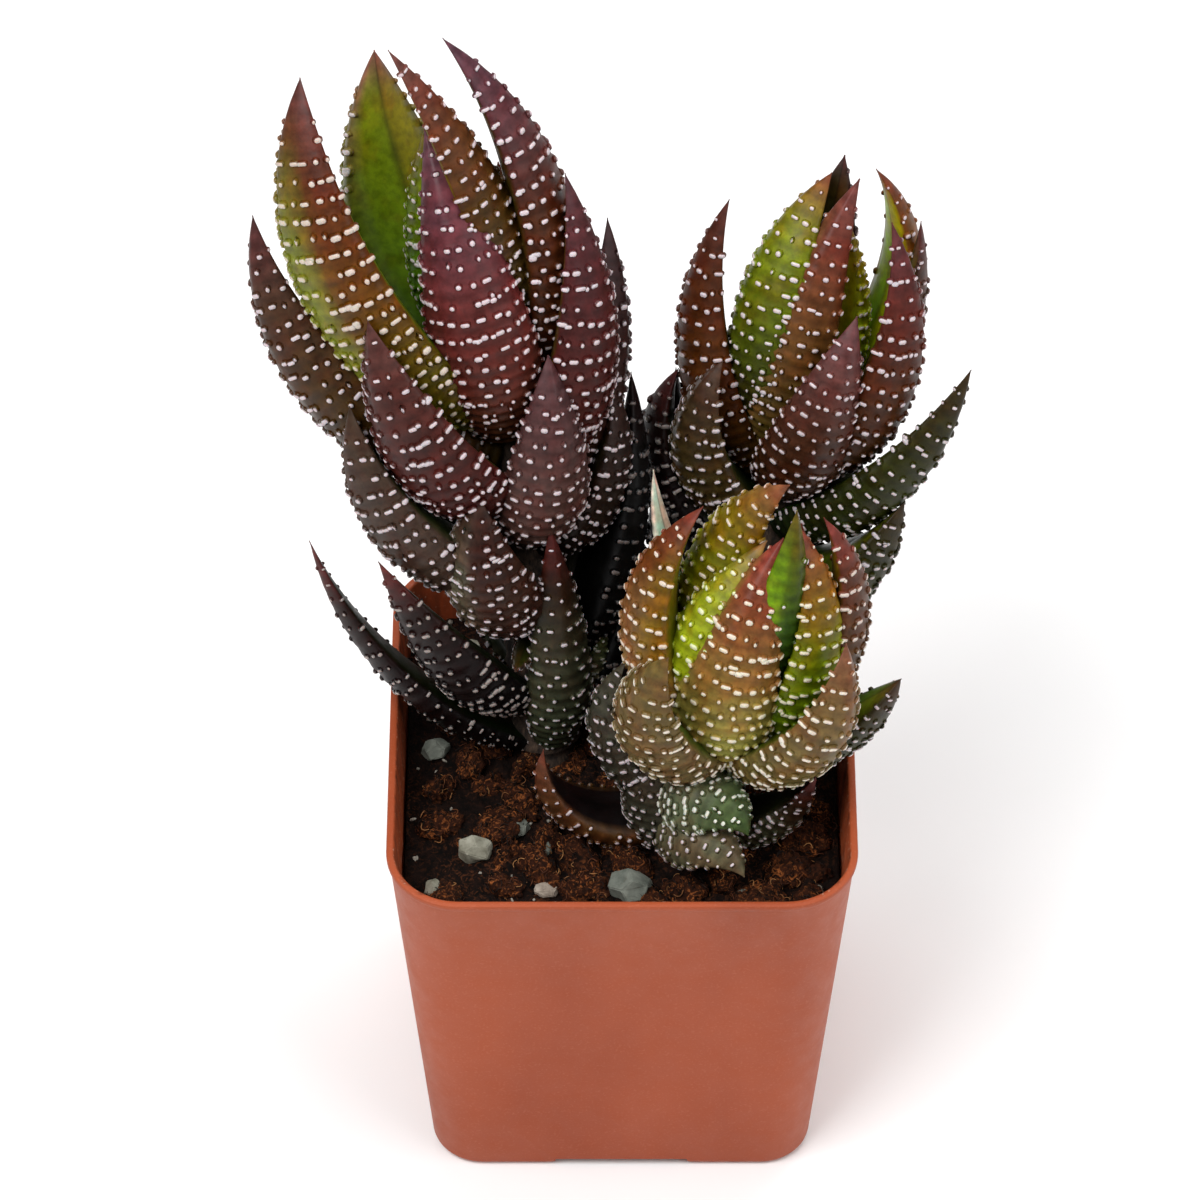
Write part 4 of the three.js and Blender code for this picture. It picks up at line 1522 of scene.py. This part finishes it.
# Two of these are coloured near black as painted deep shade; the third is a dark green leaf.
BACK_SHADED = [
    Leaf(19, -106, 32, 62, 30, 13, 0, T.PAINTED_DEEP_SHADE),
    Leaf(13, -84, 27, 58, 30, 13, 0, T.PAINTED_DEEP_SHADE),
    Leaf(17, 62, 28, 50, 30, 15, 0, T.FOREST),
]
FRONT_DRIED = [Leaf(27, -128, 30.5, 50, 40, 4.4, 0, T.STRAW, 2.6)]
FRONT_LEAVES = [
    Leaf(20, -94, 37, 75, 66, 14.5, 0, T.BLUSH, 2.0),
    Leaf(25.5, -135, 36.5, 92, 71, 12, -1, T.AMBER, 1.8, -80),
    Leaf(20, -66, 31.5, 91, 55, 13, -2, T.LIME),
    Leaf(15.5, -32, 37.5, 91, 38, 15, 4, T.CORAL),
    Leaf(19.5, 72, 36.5, 89, 60, 13, 0, T.PAPRIKA),
    Leaf(21, 98, 37, 83, 78, 13, 0, T.FAWN),
    Leaf(17.5, 43, 32, 62, 74, 13, 0, T.OLIVE),
    Leaf(18, -52, 33, 51, 71, 14, 18, T.KHAKI),
    Leaf(10.5, -86, 26, 50, 100, 12.5, 4, T.SLATE),
    Leaf(14.6, 75, 28.5, 46, 28, 10.6, 0, T.FOREST, 3.0),
    Leaf(1, -62, 20, 58, 40, 12, 0, T.SLATE),
    Leaf(9.5, -40, 17, 50, 120, 11, 120, T.GRASS, 2.6, 80),
    Leaf(5.5, -40, 19.5, 40, 130, 9, 120, T.PUTTY, 2.6, 80),
    Leaf(4, 62, 18.5, 46, 40, 10, 0, T.BOTTLE),
    Leaf(9.5, -79, 31, 9, 140, 10, 0, T.PEAT, 2.4),
    Leaf(8, 150, 27, 56, 40, 11, 0, T.SLATE),
    Leaf(14, -165, 31, 62, 45, 12, 0, T.OLIVE),
    Leaf(19, 150, 31, 76, 45, 12, 0, T.BLUSH),
    Leaf(4, -130, 19, 50, 40, 11, 0, T.INK),
    Leaf(27, 30, 31, 88, 22, 9, 0, T.MEADOW),
]


@dataclass
class NurseryPot:
    """The square pot: thin tapering walls, a soft rim, and a drainage channel under each side."""

    height: float = 63
    rim_half: float = 31.75
    base_half: float = 26.75
    rim_corner: float = 9.7
    base_corner: float = 7
    wall: float = 0.8
    floor: float = 0.9
    base_edge: float = 1.2
    lip_height: float = 1.6
    lip_flare: float = 0.35
    corner_steps: int = 18
    channel_width: float = 18.6
    channel_height: float = 1.5
    channel_reach: float = 14
    foot_round: float = 2.0
    drain_radius: float = 3
    drain_from_centre: float = 19
    drain_sides: int = 32
    sharpest_smooth: float = 40

    EDGE_TURNS = (90, 72, 54, 36, 18, 0)
    ARC_TURNS = range(0, 91, 15)
    WALL_RINGS = (0.25, 0.5, 0.75)
    LIP_HALFWAY = 0.45
    LIP_FULL = 0.8
    LIP_ROUND = 0.3
    LIP_SHOULDER = (0.09, 0.1)
    HEEL = (0.35, 0.17)
    MOUTH_SHOULDER = (0.08, 0.12)
    MOUTH_TOP = (0.02, 0.34)
    PAST = 1
    FACING = -0.2

    def ring(self, z: float, inset: float) -> np.ndarray:
        """The wall's outline at a height.

        Args:
            z: the height.
            inset: how far it is moved inwards from the outer wall.

        Returns:
            Its points, counter-clockwise from above.
        """
        share = z / self.height
        half = self.base_half + (self.rim_half - self.base_half) * share - inset
        corner = self.base_corner + (self.rim_corner - self.base_corner) * share - inset
        points = []
        for quarter in range(4):
            middle = math.radians(45 + 90 * quarter)
            centre_x = math.copysign(half - corner, math.cos(middle))
            centre_y = math.copysign(half - corner, math.sin(middle))
            for step in range(self.corner_steps + 1):
                angle = math.radians(90 * quarter + 90 * step / self.corner_steps)
                points.append((centre_x + corner * math.cos(angle), centre_y + corner * math.sin(angle), z))
        return np.array(points)

    def loft(self, name: str, profile: list[tuple[float, float]]) -> bpy.types.Object:
        """A closed solid through outlines of the wall.

        Args:
            name: the object's name.
            profile: a height and an inset for each outline, from below the first to the last.

        Returns:
            The object.
        """
        rings = [self.ring(z, inset) for z, inset in profile]
        ends = [np.array([[0, 0, profile[i][0]]]) for i in (0, -1)]
        draft = MeshDraft()
        draft.add(np.vstack([ends[0], *rings, ends[1]]), loft_faces(len(rings), len(rings[0])))
        return new_object(name, draft.mesh(name))

    def outer_profile(self) -> list[tuple[float, float]]:
        """Heights and insets of the outside, from the round base edge to the top of the lip."""
        edge = [(self.base_edge * (1 - math.sin(a)), self.base_edge * (1 - math.cos(a)))
                for a in map(math.radians, self.EDGE_TURNS)]
        top, flare, lip_base = self.height, self.lip_flare, self.height - self.lip_height
        drop, back = self.LIP_SHOULDER
        lip = [
            (lip_base, 0),
            (lip_base + self.LIP_HALFWAY, -0.5 * flare),
            (lip_base + self.LIP_FULL, -flare),
            (top - self.LIP_ROUND, -flare),
            (top - drop, -flare + back),
            (top, -flare + self.LIP_ROUND),
        ]
        return [*edge, *((lip_base * share, 0) for share in self.WALL_RINGS), *lip]

    def cavity_profile(self) -> list[tuple[float, float]]:
        """Heights and insets of the inside, from the floor to above the rim."""
        top, wall = self.height, self.wall
        heel_up, heel_in = self.HEEL
        drop, back = self.MOUTH_SHOULDER
        over, wide = self.MOUTH_TOP
        return [
            (self.floor, wall + self.base_edge * 0.5),
            (self.floor + heel_up, wall + heel_in),
            (self.floor + self.base_edge, wall),
            (top * 0.5, wall),
            (top - self.LIP_ROUND, wall),
            (top - drop, wall - back),
            (top + over, wall - wide),
            (top + self.PAST, wall - wide),
        ]

    def channel(self, grow: float, quarter: int) -> bpy.types.Object:
        """A prism along one drainage channel, from outside the wall inwards.

        Args:
            grow: how far its sides and roof are moved out.
            quarter: which side of the pot it lies under.

        Returns:
            The object.
        """
        half = self.channel_width / 2 + grow
        roof = self.channel_height + grow
        right = [(half + self.foot_round * (1 - math.cos(a)), roof * (1 - math.sin(a)))
                 for a in map(math.radians, self.ARC_TURNS)]
        outline = [(-x, z) for x, z in reversed(right)] + right
        outline += [(outline[-1][0], -self.PAST), (outline[0][0], -self.PAST)]
        near = -self.base_half - self.base_edge - self.PAST
        far = -self.base_half + self.channel_reach + grow
        points = [(x, y, z) for y in (near, far) for x, z in outline]
        count = len(outline)
        faces = [tuple(range(count)), tuple(reversed(range(count, 2 * count)))]
        faces += [(i, i + count, (i + 1) % count + count, (i + 1) % count) for i in range(count)]
        angle = math.radians(90 * quarter)
        cos, sin = math.cos(angle), math.sin(angle)
        turn = np.array([[cos, -sin, 0], [sin, cos, 0], [0, 0, 1]])
        draft = MeshDraft()
        draft.add(np.array(points) @ turn.T, faces)
        return new_object("cutter", outward(draft.mesh("cutter")))

    def drain(self, quarter: int) -> bpy.types.Object:
        """A round bar through the roof of one channel."""
        sides, reach = self.drain_sides, 4 * self.PAST
        angle = math.radians(90 * quarter)
        middle = np.array([math.sin(angle), -math.cos(angle), 0]) * self.drain_from_centre
        turns = np.linspace(0, 2 * math.pi, sides, endpoint=False)
        circle = np.stack([np.cos(turns), np.sin(turns), np.zeros(sides)], axis=1) * self.drain_radius
        low, high = middle + np.array([0, 0, -reach]), middle + np.array([0, 0, reach])
        draft = MeshDraft()
        draft.add(np.vstack([low[None], circle + low, circle + high, high[None]]), loft_faces(2, sides))
        return new_object("cutter", draft.mesh("cutter"))

    def build(self, finish: bpy.types.Material) -> None:
        """Cuts the cavity, channels and drain holes from the outer form and finishes the pot."""
        cavity = self.loft("cavity", self.cavity_profile())
        cut_away(cavity, [self.channel(self.wall, quarter) for quarter in range(4)])
        pot = self.loft("pot_wall", self.outer_profile())
        cut_away(pot, [cavity, *(self.channel(0, q) for q in range(4)), *(self.drain(q) for q in range(4))])
        crease(pot.data, self.sharpest_smooth)
        write_field(pot.data, "inside", self.inside(pot.data))
        place(pot, finish, "terracotta_plastic", "pot")

    def inside(self, mesh: bpy.types.Mesh) -> np.ndarray:
        """Where the pot faces its own middle.

        Args:
            mesh: the pot's mesh.

        Returns:
            1 on the inner walls and floor and 0 elsewhere, for each point.
        """
        values = []
        for vertex in mesh.vertices:
            level = Vector((vertex.co.x, vertex.co.y, 0)).normalized()
            inwards = vertex.normal.dot(level) < self.FACING and vertex.co.z > self.floor * MM
            values.append(1.0 if inwards else 0.0)
        return np.array(values)


def outward(mesh: bpy.types.Mesh) -> bpy.types.Mesh:
    """Turns a closed mesh's faces outwards and returns it."""
    shape = bmesh.new()
    shape.from_mesh(mesh)
    bmesh.ops.recalc_face_normals(shape, faces=shape.faces)
    shape.to_mesh(mesh)
    shape.free()
    return mesh


def cut_away(thing: bpy.types.Object, cutters: list[bpy.types.Object]) -> None:
    """Cuts solids out of an object and removes them.

    Args:
        thing: the object that is cut.
        cutters: the solids.
    """
    for cutter in cutters:
        modifier = thing.modifiers.new("cut", "BOOLEAN")
        modifier.operation = "DIFFERENCE"
        modifier.solver = "EXACT"
        modifier.object = cutter
    settle(thing)
    for cutter in cutters:
        bpy.data.objects.remove(cutter)


@dataclass
class SoilBed:
    """The crumbly potting mix that fills the pot, with clods, threads and fine grit on it."""

    pot: NurseryPot
    gap: float = 0.3
    top: float = 55.5
    sink: float = 1.6
    rings: int = 76
    seed: int = 11
    clods_from_wall: float = 3.2
    clod_tilt: float = 0.3
    thread_tilt: float = 0.5
    thread_lengths: Span = (0.35, 1.5)
    grit_from_wall: float = 1.5

    BROAD = (0.11, 3.7)
    CLOD = (0.33, 8.1)
    CRUMB = (1.1, 1.9)
    GRIT = (3.1, 5.3)
    STRENGTHS = (0.5, 0.75, 0.3, 0.12)
    MIDDLE = 0.55
    DEEPEST = 1.6
    HIGHEST = 1.5
    HALFWAY_UP = 30.0

    def height(self, x: float, y: float) -> float:
        """Height of the surface at a place, with clods, dips and crumbs.

        Args:
            x, y: the place.

        Returns:
            The height, never above the soil's top.
        """
        waves = zip(self.STRENGTHS, (self.BROAD, self.CLOD, self.CRUMB, self.GRIT))
        broad, clod, crumb, grit = (
            strength * noise.noise(Vector((x * rate, y * rate, layer))) for strength, (rate, layer) in waves
        )
        level = self.MIDDLE + broad + abs(clod) + crumb + grit
        return self.top - self.sink * (self.DEEPEST - min(self.HIGHEST, level))

    def bed(self) -> bpy.types.Mesh:
        """The closed bed, with a fine crumbly surface."""
        pot, inset = self.pot, self.pot.wall + self.gap
        low = [
            (pot.floor + self.gap, inset + pot.base_edge * 0.5),
            (pot.floor + pot.base_edge + self.gap, inset),
            (self.HALFWAY_UP, inset),
            (self.top - 2 * self.sink, inset),
        ]
        outlines = [self.even(pot.ring(*place)) for place in low]
        edge = outlines[-1]
        for ring in range(self.rings):
            level = edge[:, :2] * (1 - ring / self.rings)
            outlines.append(np.column_stack([level, [self.height(x, y) for x, y in level]]))
        ends = [np.array([[0, 0, low[0][0]]]), np.array([[0, 0, self.height(0, 0)]])]
        draft = MeshDraft()
        draft.add(np.vstack([ends[0], *outlines, ends[1]]), loft_faces(len(outlines), len(edge)))
        return draft.mesh("soil_bed")

    def even(self, ring: np.ndarray, count: int = 240) -> np.ndarray:
        """The same outline with evenly spaced points.

        Args:
            ring: the outline.
            count: how many points it gets.

        Returns:
            The new outline.
        """
        closed = np.vstack([ring, ring[:1]])
        run = np.concatenate([[0], np.cumsum(np.linalg.norm(np.diff(closed, axis=0), axis=1))])
        marks = np.linspace(0, run[-1], count, endpoint=False)
        return np.stack([np.interp(marks, run, closed[:, i]) for i in range(3)], axis=1)

    def surface(self, inset: float) -> bpy.types.Mesh:
        """The open top of the bed, which clods and threads are strewn on.

        Args:
            inset: how far it stays from the wall.

        Returns:
            A mesh of the surface alone.
        """
        count, rings = 80, 24
        edge = self.even(self.pot.ring(self.top, self.pot.wall + inset), count)
        rows = [edge[:, :2] * (1 - ring / rings) for ring in range(rings)]
        flat = np.vstack([*rows, [[0.0, 0.0]]])
        points = np.column_stack([flat, [self.height(x, y) for x, y in flat]])
        pairs = [(i, (i + 1) % count) for i in range(count)]
        last, inmost = rings * count, (rings - 1) * count
        faces = [(low + i, low + j, low + count + j, low + count + i)
                 for low in range(0, inmost, count) for i, j in pairs]
        faces += [(inmost + i, inmost + j, last) for i, j in pairs]
        draft = MeshDraft()
        draft.add(points, faces)
        return draft.mesh("surface")

    def clods(self, finish: bpy.types.Material) -> bpy.types.Object:
        """Strews rough clods of coir on the bed."""
        grower = Grower("coir_clods")
        seed = grower.size("Seed", self.seed, "Int")
        points = grower.add("GeometryNodeDistributePointsOnFaces", {
            "Mesh": grower.ground, "Seed": seed, "Distance Min": grower.size("Spacing", 4.6 * MM),
            "Density Max": grower.size("Density", 60000.0),
        }, distribute_method="POISSON").outputs["Points"]
        ball = grower.add("GeometryNodeMeshIcoSphere", {"Radius": 1.0, "Subdivisions": 4})
        smooth = grower.add("GeometryNodeSetShadeSmooth", {"Geometry": ball.outputs["Mesh"]}).outputs[0]
        least, most = millimetres(1.6, 1.4, 1.2), millimetres(4.6, 3.8, 3.0)
        scale = grower.chance(seed, least, most, "FLOAT_VECTOR")
        tilt, turn_seed = self.clod_tilt, grower.size("Turn Seed", 3, "Int")
        turn = grower.chance(turn_seed, (-tilt, -tilt, 0.0), (tilt, tilt, math.tau), "FLOAT_VECTOR")
        balls = grower.real(grower.strew(points, smooth, turn, scale))
        cloud = {"Vector": grower.here(), "Scale": grower.size("Lump Scale", 430.0),
                 "Detail": 5.0, "Roughness": 0.72}
        lumps = grower.add("ShaderNodeTexNoise", cloud).outputs["Fac"]
        push = grower.sum("SUBTRACT", lumps, grower.size("Lump Level", 0.52))
        far = grower.sum("MULTIPLY", push, grower.size("Roughness", 5.0 * MM))
        offset = grower.vector("SCALE", grower.add("GeometryNodeInputNormal").outputs[0], far)
        moved = grower.add("GeometryNodeSetPosition", {"Geometry": balls, "Offset": offset}).outputs[0]
        return grower.grow("coir_clods", moved, finish, self.surface(self.clods_from_wall))

    def thread(self, grower: Grower, length: Socket) -> Socket:
        """One short bent thread of unit length, as thick as the tree's thickness once it is scaled.

        Args:
            grower: the tree it is built in.
            length: the length that it will be scaled by.

        Returns:
            Its geometry.
        """
        bend = grower.add("GeometryNodeCurveQuadraticBezier", {
            "Resolution": 4, "Start": (-0.4, 0, 0), "Middle": (0.1, 0.62, 0.42), "End": (0.4, -0.1, 0.1),
        })
        slim = grower.sum("DIVIDE", grower.size("Thickness", 0.055 * MM), length)
        ring = grower.add("GeometryNodeCurvePrimitiveCircle", {"Resolution": 3, "Radius": 1.0})
        outline = grower.add("GeometryNodeTransform", {
            "Geometry": ring.outputs["Curve"], "Scale": grower.put_together(slim, slim, slim),
        })
        return grower.add("GeometryNodeCurveToMesh", {
            "Curve": bend.outputs["Curve"], "Profile Curve": outline.outputs[0], "Fill Caps": True,
        }).outputs[0]

    def threads(self, ground: bpy.types.Mesh, finish: bpy.types.Material) -> bpy.types.Object:
        """Strews short bent coir threads on the clods.

        Args:
            ground: the surface they lie on.
            finish: their material.

        Returns:
            The new piece.
        """
        grower = Grower("coir_threads")
        length = grower.size("Length", 1.2 * MM)
        seed = grower.size("Seed", self.seed + 1, "Int")
        points = grower.add("GeometryNodeDistributePointsOnFaces", {
            "Mesh": grower.ground, "Density": grower.size("Density", 700000.0), "Seed": seed,
        })
        tilt, spin_seed = self.thread_tilt, grower.size("Spin Seed", 7, "Int")
        spin = grower.chance(spin_seed, (-tilt, -tilt, 0.0), (tilt, tilt, math.tau), "FLOAT_VECTOR")
        turned = grower.add("FunctionNodeRotateRotation", {
            "Rotation": points.outputs["Rotation"], "Rotate By": spin,
        }, rotation_space="LOCAL").outputs[0]
        scale = grower.sum("MULTIPLY", grower.chance(seed, *self.thread_lengths), length)
        shade = grower.chance(grower.size("Shade Seed", 5, "Int"), 0.0, 1.0)
        marked = grower.keep(points.outputs["Points"], "shade", shade, "FLOAT")
        strewn = grower.strew(marked, self.thread(grower, length), turned, scale)
        return grower.grow("coir_threads", strewn, finish, ground)

    def fine_grit(self, finish: bpy.types.Material) -> bpy.types.Object:
        """Strews fine pale grit on the bed."""
        grower = Grower("fine_grit")
        seed = grower.size("Seed", self.seed + 2, "Int")
        points = grower.add("GeometryNodeDistributePointsOnFaces", {
            "Mesh": grower.ground, "Density": grower.size("Density", 24000.0), "Seed": seed,
        }).outputs["Points"]
        ball = grower.add("GeometryNodeMeshIcoSphere", {"Radius": 1.0, "Subdivisions": 1}).outputs["Mesh"]
        least, most = millimetres(0.2, 0.15, 0.15), millimetres(0.62, 0.5, 0.45)
        scale = grower.chance(seed, least, most, "FLOAT_VECTOR")
        turn_seed = grower.size("Turn Seed", 9, "Int")
        turn = grower.chance(turn_seed, (0.0, 0.0, 0.0), (math.tau, math.tau, math.tau), "FLOAT_VECTOR")
        grains = grower.strew(points, ball, turn, scale)
        return grower.grow("fine_grit", grains, finish, self.surface(self.grit_from_wall))

    def build(self, mix: bpy.types.Material, fibre: bpy.types.Material, clod: bpy.types.Material,
              grit: bpy.types.Material) -> None:
        """Builds the bed and strews its clods, threads and grit."""
        place(new_object("soil_bed", self.bed()), mix, "potting_mix", "soil")
        clods = self.clods(clod)
        place(clods, clod, "potting_mix")
        place(self.threads(bare_copy(clods.data), fibre), fibre, "potting_mix")
        place(self.fine_grit(grit), grit, "grit_stone")


def millimetres(*sizes: float) -> tuple[float, ...]:
    """Sizes in metres of sizes in millimetres."""
    return tuple(size * MM for size in sizes)


def bare_copy(mesh: bpy.types.Mesh) -> bpy.types.Mesh:
    """A copy of a mesh's shape, without its materials."""
    shape = bmesh.new()
    shape.from_mesh(mesh)
    made = bpy.data.meshes.new("ground")
    shape.to_mesh(made)
    shape.free()
    return made


class StoneKind(Enum):
    """The minerals that the larger grit is made of."""

    GREENSTONE = GritStone("greenstone", (124, 128, 118), (76, 82, 74))
    LIMESTONE = GritStone("limestone", (158, 157, 142), (102, 100, 84))
    FELDSPAR = GritStone("feldspar", (176, 164, 150), (120, 108, 96))


STONE_KINDS = [
    StoneKind.LIMESTONE, StoneKind.GREENSTONE, StoneKind.LIMESTONE, StoneKind.GREENSTONE,
    StoneKind.FELDSPAR, StoneKind.GREENSTONE, StoneKind.LIMESTONE, StoneKind.GREENSTONE,
    StoneKind.LIMESTONE, StoneKind.GREENSTONE, StoneKind.FELDSPAR, StoneKind.GREENSTONE,
]


@dataclass
class Stone:
    """One of the larger stones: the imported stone's own facets, broken finer and worn at the edges."""

    number: int
    wear: float = 0.12
    relief: float = 0.16
    flattest: float = 4
    sharpest_smooth: float = 32

    CHIP_RATES = (0.9, 2.3)
    FINE_CHIPS = 0.5
    WELD = 0.01

    def build(self, finish: bpy.types.Material) -> None:
        """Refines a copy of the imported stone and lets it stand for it."""
        node = f"stone_{self.number}"
        shape = bmesh.new()
        shape.from_mesh(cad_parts[node].data)
        bmesh.ops.remove_doubles(shape, verts=shape.verts, dist=self.WELD * MM)
        flat = math.radians(self.flattest)
        bmesh.ops.dissolve_limit(shape, angle_limit=flat, verts=shape.verts, edges=shape.edges)
        bmesh.ops.bevel(shape, geom=shape.edges[:], offset=self.wear * MM, segments=2, affect="EDGES")
        bmesh.ops.triangulate(shape, faces=shape.faces)
        bmesh.ops.subdivide_edges(shape, edges=shape.edges[:], cuts=2, use_grid_fill=True)
        shape.normal_update()
        coarse, fine = self.CHIP_RATES
        for vertex in shape.verts:
            spot = vertex.co / MM
            chips = noise.noise(spot * coarse + Vector((self.number, 0, 0)))
            chips += self.FINE_CHIPS * noise.noise(spot * fine)
            vertex.co -= vertex.normal * (abs(chips) * self.relief * MM)
        mesh = bpy.data.meshes.new(f"grit_stone_{self.number}")
        shape.to_mesh(mesh)
        shape.free()
        crease(mesh, self.sharpest_smooth)
        place(new_object(mesh.name, mesh), finish, "grit_stone", node)


@dataclass(frozen=True)
class Lamp:
    """A square soft light that faces the plant: its name, place, side length and power."""

    name: str
    at: Point
    side: float
    watts: float

    AIM = (0, 0, 70)

    def hang(self) -> None:
        """Adds it to the scene."""
        data = bpy.data.lights.new(self.name, "AREA")
        data.shape = "SQUARE"
        data.size = self.side * MM
        data.energy = self.watts
        lamp = bpy.data.objects.new(self.name, data)
        bpy.context.scene.collection.objects.link(lamp)
        lamp.location = Vector(self.at) * MM
        lamp.rotation_euler = (Vector(self.AIM) - Vector(self.at)).to_track_quat("-Z", "Y").to_euler()


@dataclass
class Studio:
    """A plain pale floor under soft daylight, seen from the front and well above."""

    floor_reach: float = 3000
    floor_tones: tuple[Colour, Colour] = ((250, 250, 250), (253, 253, 253))
    floor_clouds: Grain = Grain(30, 2, 0.5)
    cloud_span: Span = (0.3, 0.7)
    surroundings: float = 0.25
    lamps: tuple[Lamp, ...] = (
        Lamp("key", (-380, -320, 860), 560, 7.4),
        Lamp("fill", (560, -300, 620), 600, 2.8),
        Lamp("top", (120, 380, 860), 600, 4.0),
    )
    lens: float = 195.3
    sensor: float = 36
    camera_at: Point = (-3.0, -600.2, 732.9)
    look_down: float = 47
    sight: float = 20

    def build(self) -> None:
        """Makes the floor, the lights and the camera."""
        self.build_floor()
        self.build_light()
        self.build_camera()

    def build_floor(self) -> None:
        """Makes the floor."""
        corners = np.array([(-1, -1, 0), (1, -1, 0), (1, 1, 0), (-1, 1, 0)]) * self.floor_reach
        draft = MeshDraft()
        draft.add(corners, [(0, 1, 2, 3)])
        floor = new_object("floor", draft.mesh("floor"))
        paint = Paint("pale_floor", Roughness=0.8)
        clouds = paint.spread(paint.grain(self.floor_clouds), self.cloud_span)
        paint.join(paint.mix(clouds, *self.floor_tones), "Base Color")
        floor.data.materials.append(paint.material)

    def build_light(self) -> None:
        """Makes the white surroundings, the key light at the upper left and its fills."""
        scene = bpy.context.scene
        world = bpy.data.worlds.new("studio")
        world.use_nodes = True
        background = world.node_tree.nodes["Background"]
        background.inputs["Color"].default_value = (1, 1, 1, 1)
        background.inputs["Strength"].default_value = self.surroundings
        scene.world = world
        scene.view_settings.view_transform = "Standard"
        for lamp in self.lamps:
            lamp.hang()

    def build_camera(self) -> None:
        """Makes the camera."""
        data = bpy.data.cameras.new("camera")
        data.lens = self.lens
        data.sensor_width = self.sensor
        data.clip_end = self.sight
        camera = bpy.data.objects.new("camera", data)
        bpy.context.scene.collection.objects.link(camera)
        camera.location = Vector(self.camera_at) * MM
        camera.rotation_euler = Euler((math.radians(90 - self.look_down), 0, 0))
        bpy.context.scene.camera = camera


def main() -> None:
    """Builds the plant, its pot and soil, and the studio."""
    logging.basicConfig(level=logging.INFO, format="%(message)s")
    pot = NurseryPot()
    pot.build(TerracottaPlastic().material())
    clod = PottingMix("coir_clod", (9, 4, 2), (54, 26, 13), (170, 98, 50), 0.8)
    grit = GritStone("fine_grit", (176, 170, 158), (96, 90, 80))
    SoilBed(pot).build(PottingMix().material(), CoirFibre().material(), clod.material(), grit.material())
    minerals = {kind: kind.value.material() for kind in StoneKind}
    for index, kind in enumerate(STONE_KINDS):
        Stone(index + 1).build(minerals[kind])
    living = LeafSkin()
    finishes = living.material(), TubercleWax(living).material(), DryStem().material()
    tall = Rosette("tall", Stem((-10, 4, 53), (-18, 27, 124), 4.6), TALL_LEAVES + TALL_SHADED, 1)
    back = Rosette("back", Stem((16, 18, 53), (25, 33, 110), 4.3), BACK_LEAVES + BACK_SHADED, 2)
    finer = TubercleRule(high_step=2.1, pitch=1.75, half_length=0.43)
    front = Rosette("front", Stem((11, -9, 53), (17, -4, 84), 4.0), FRONT_LEAVES + FRONT_DRIED, 3, finer)
    for rosette in (tall, back, front):
        rosette.build(*finishes)
    Studio().build()


if __name__ == "__main__":
    main()
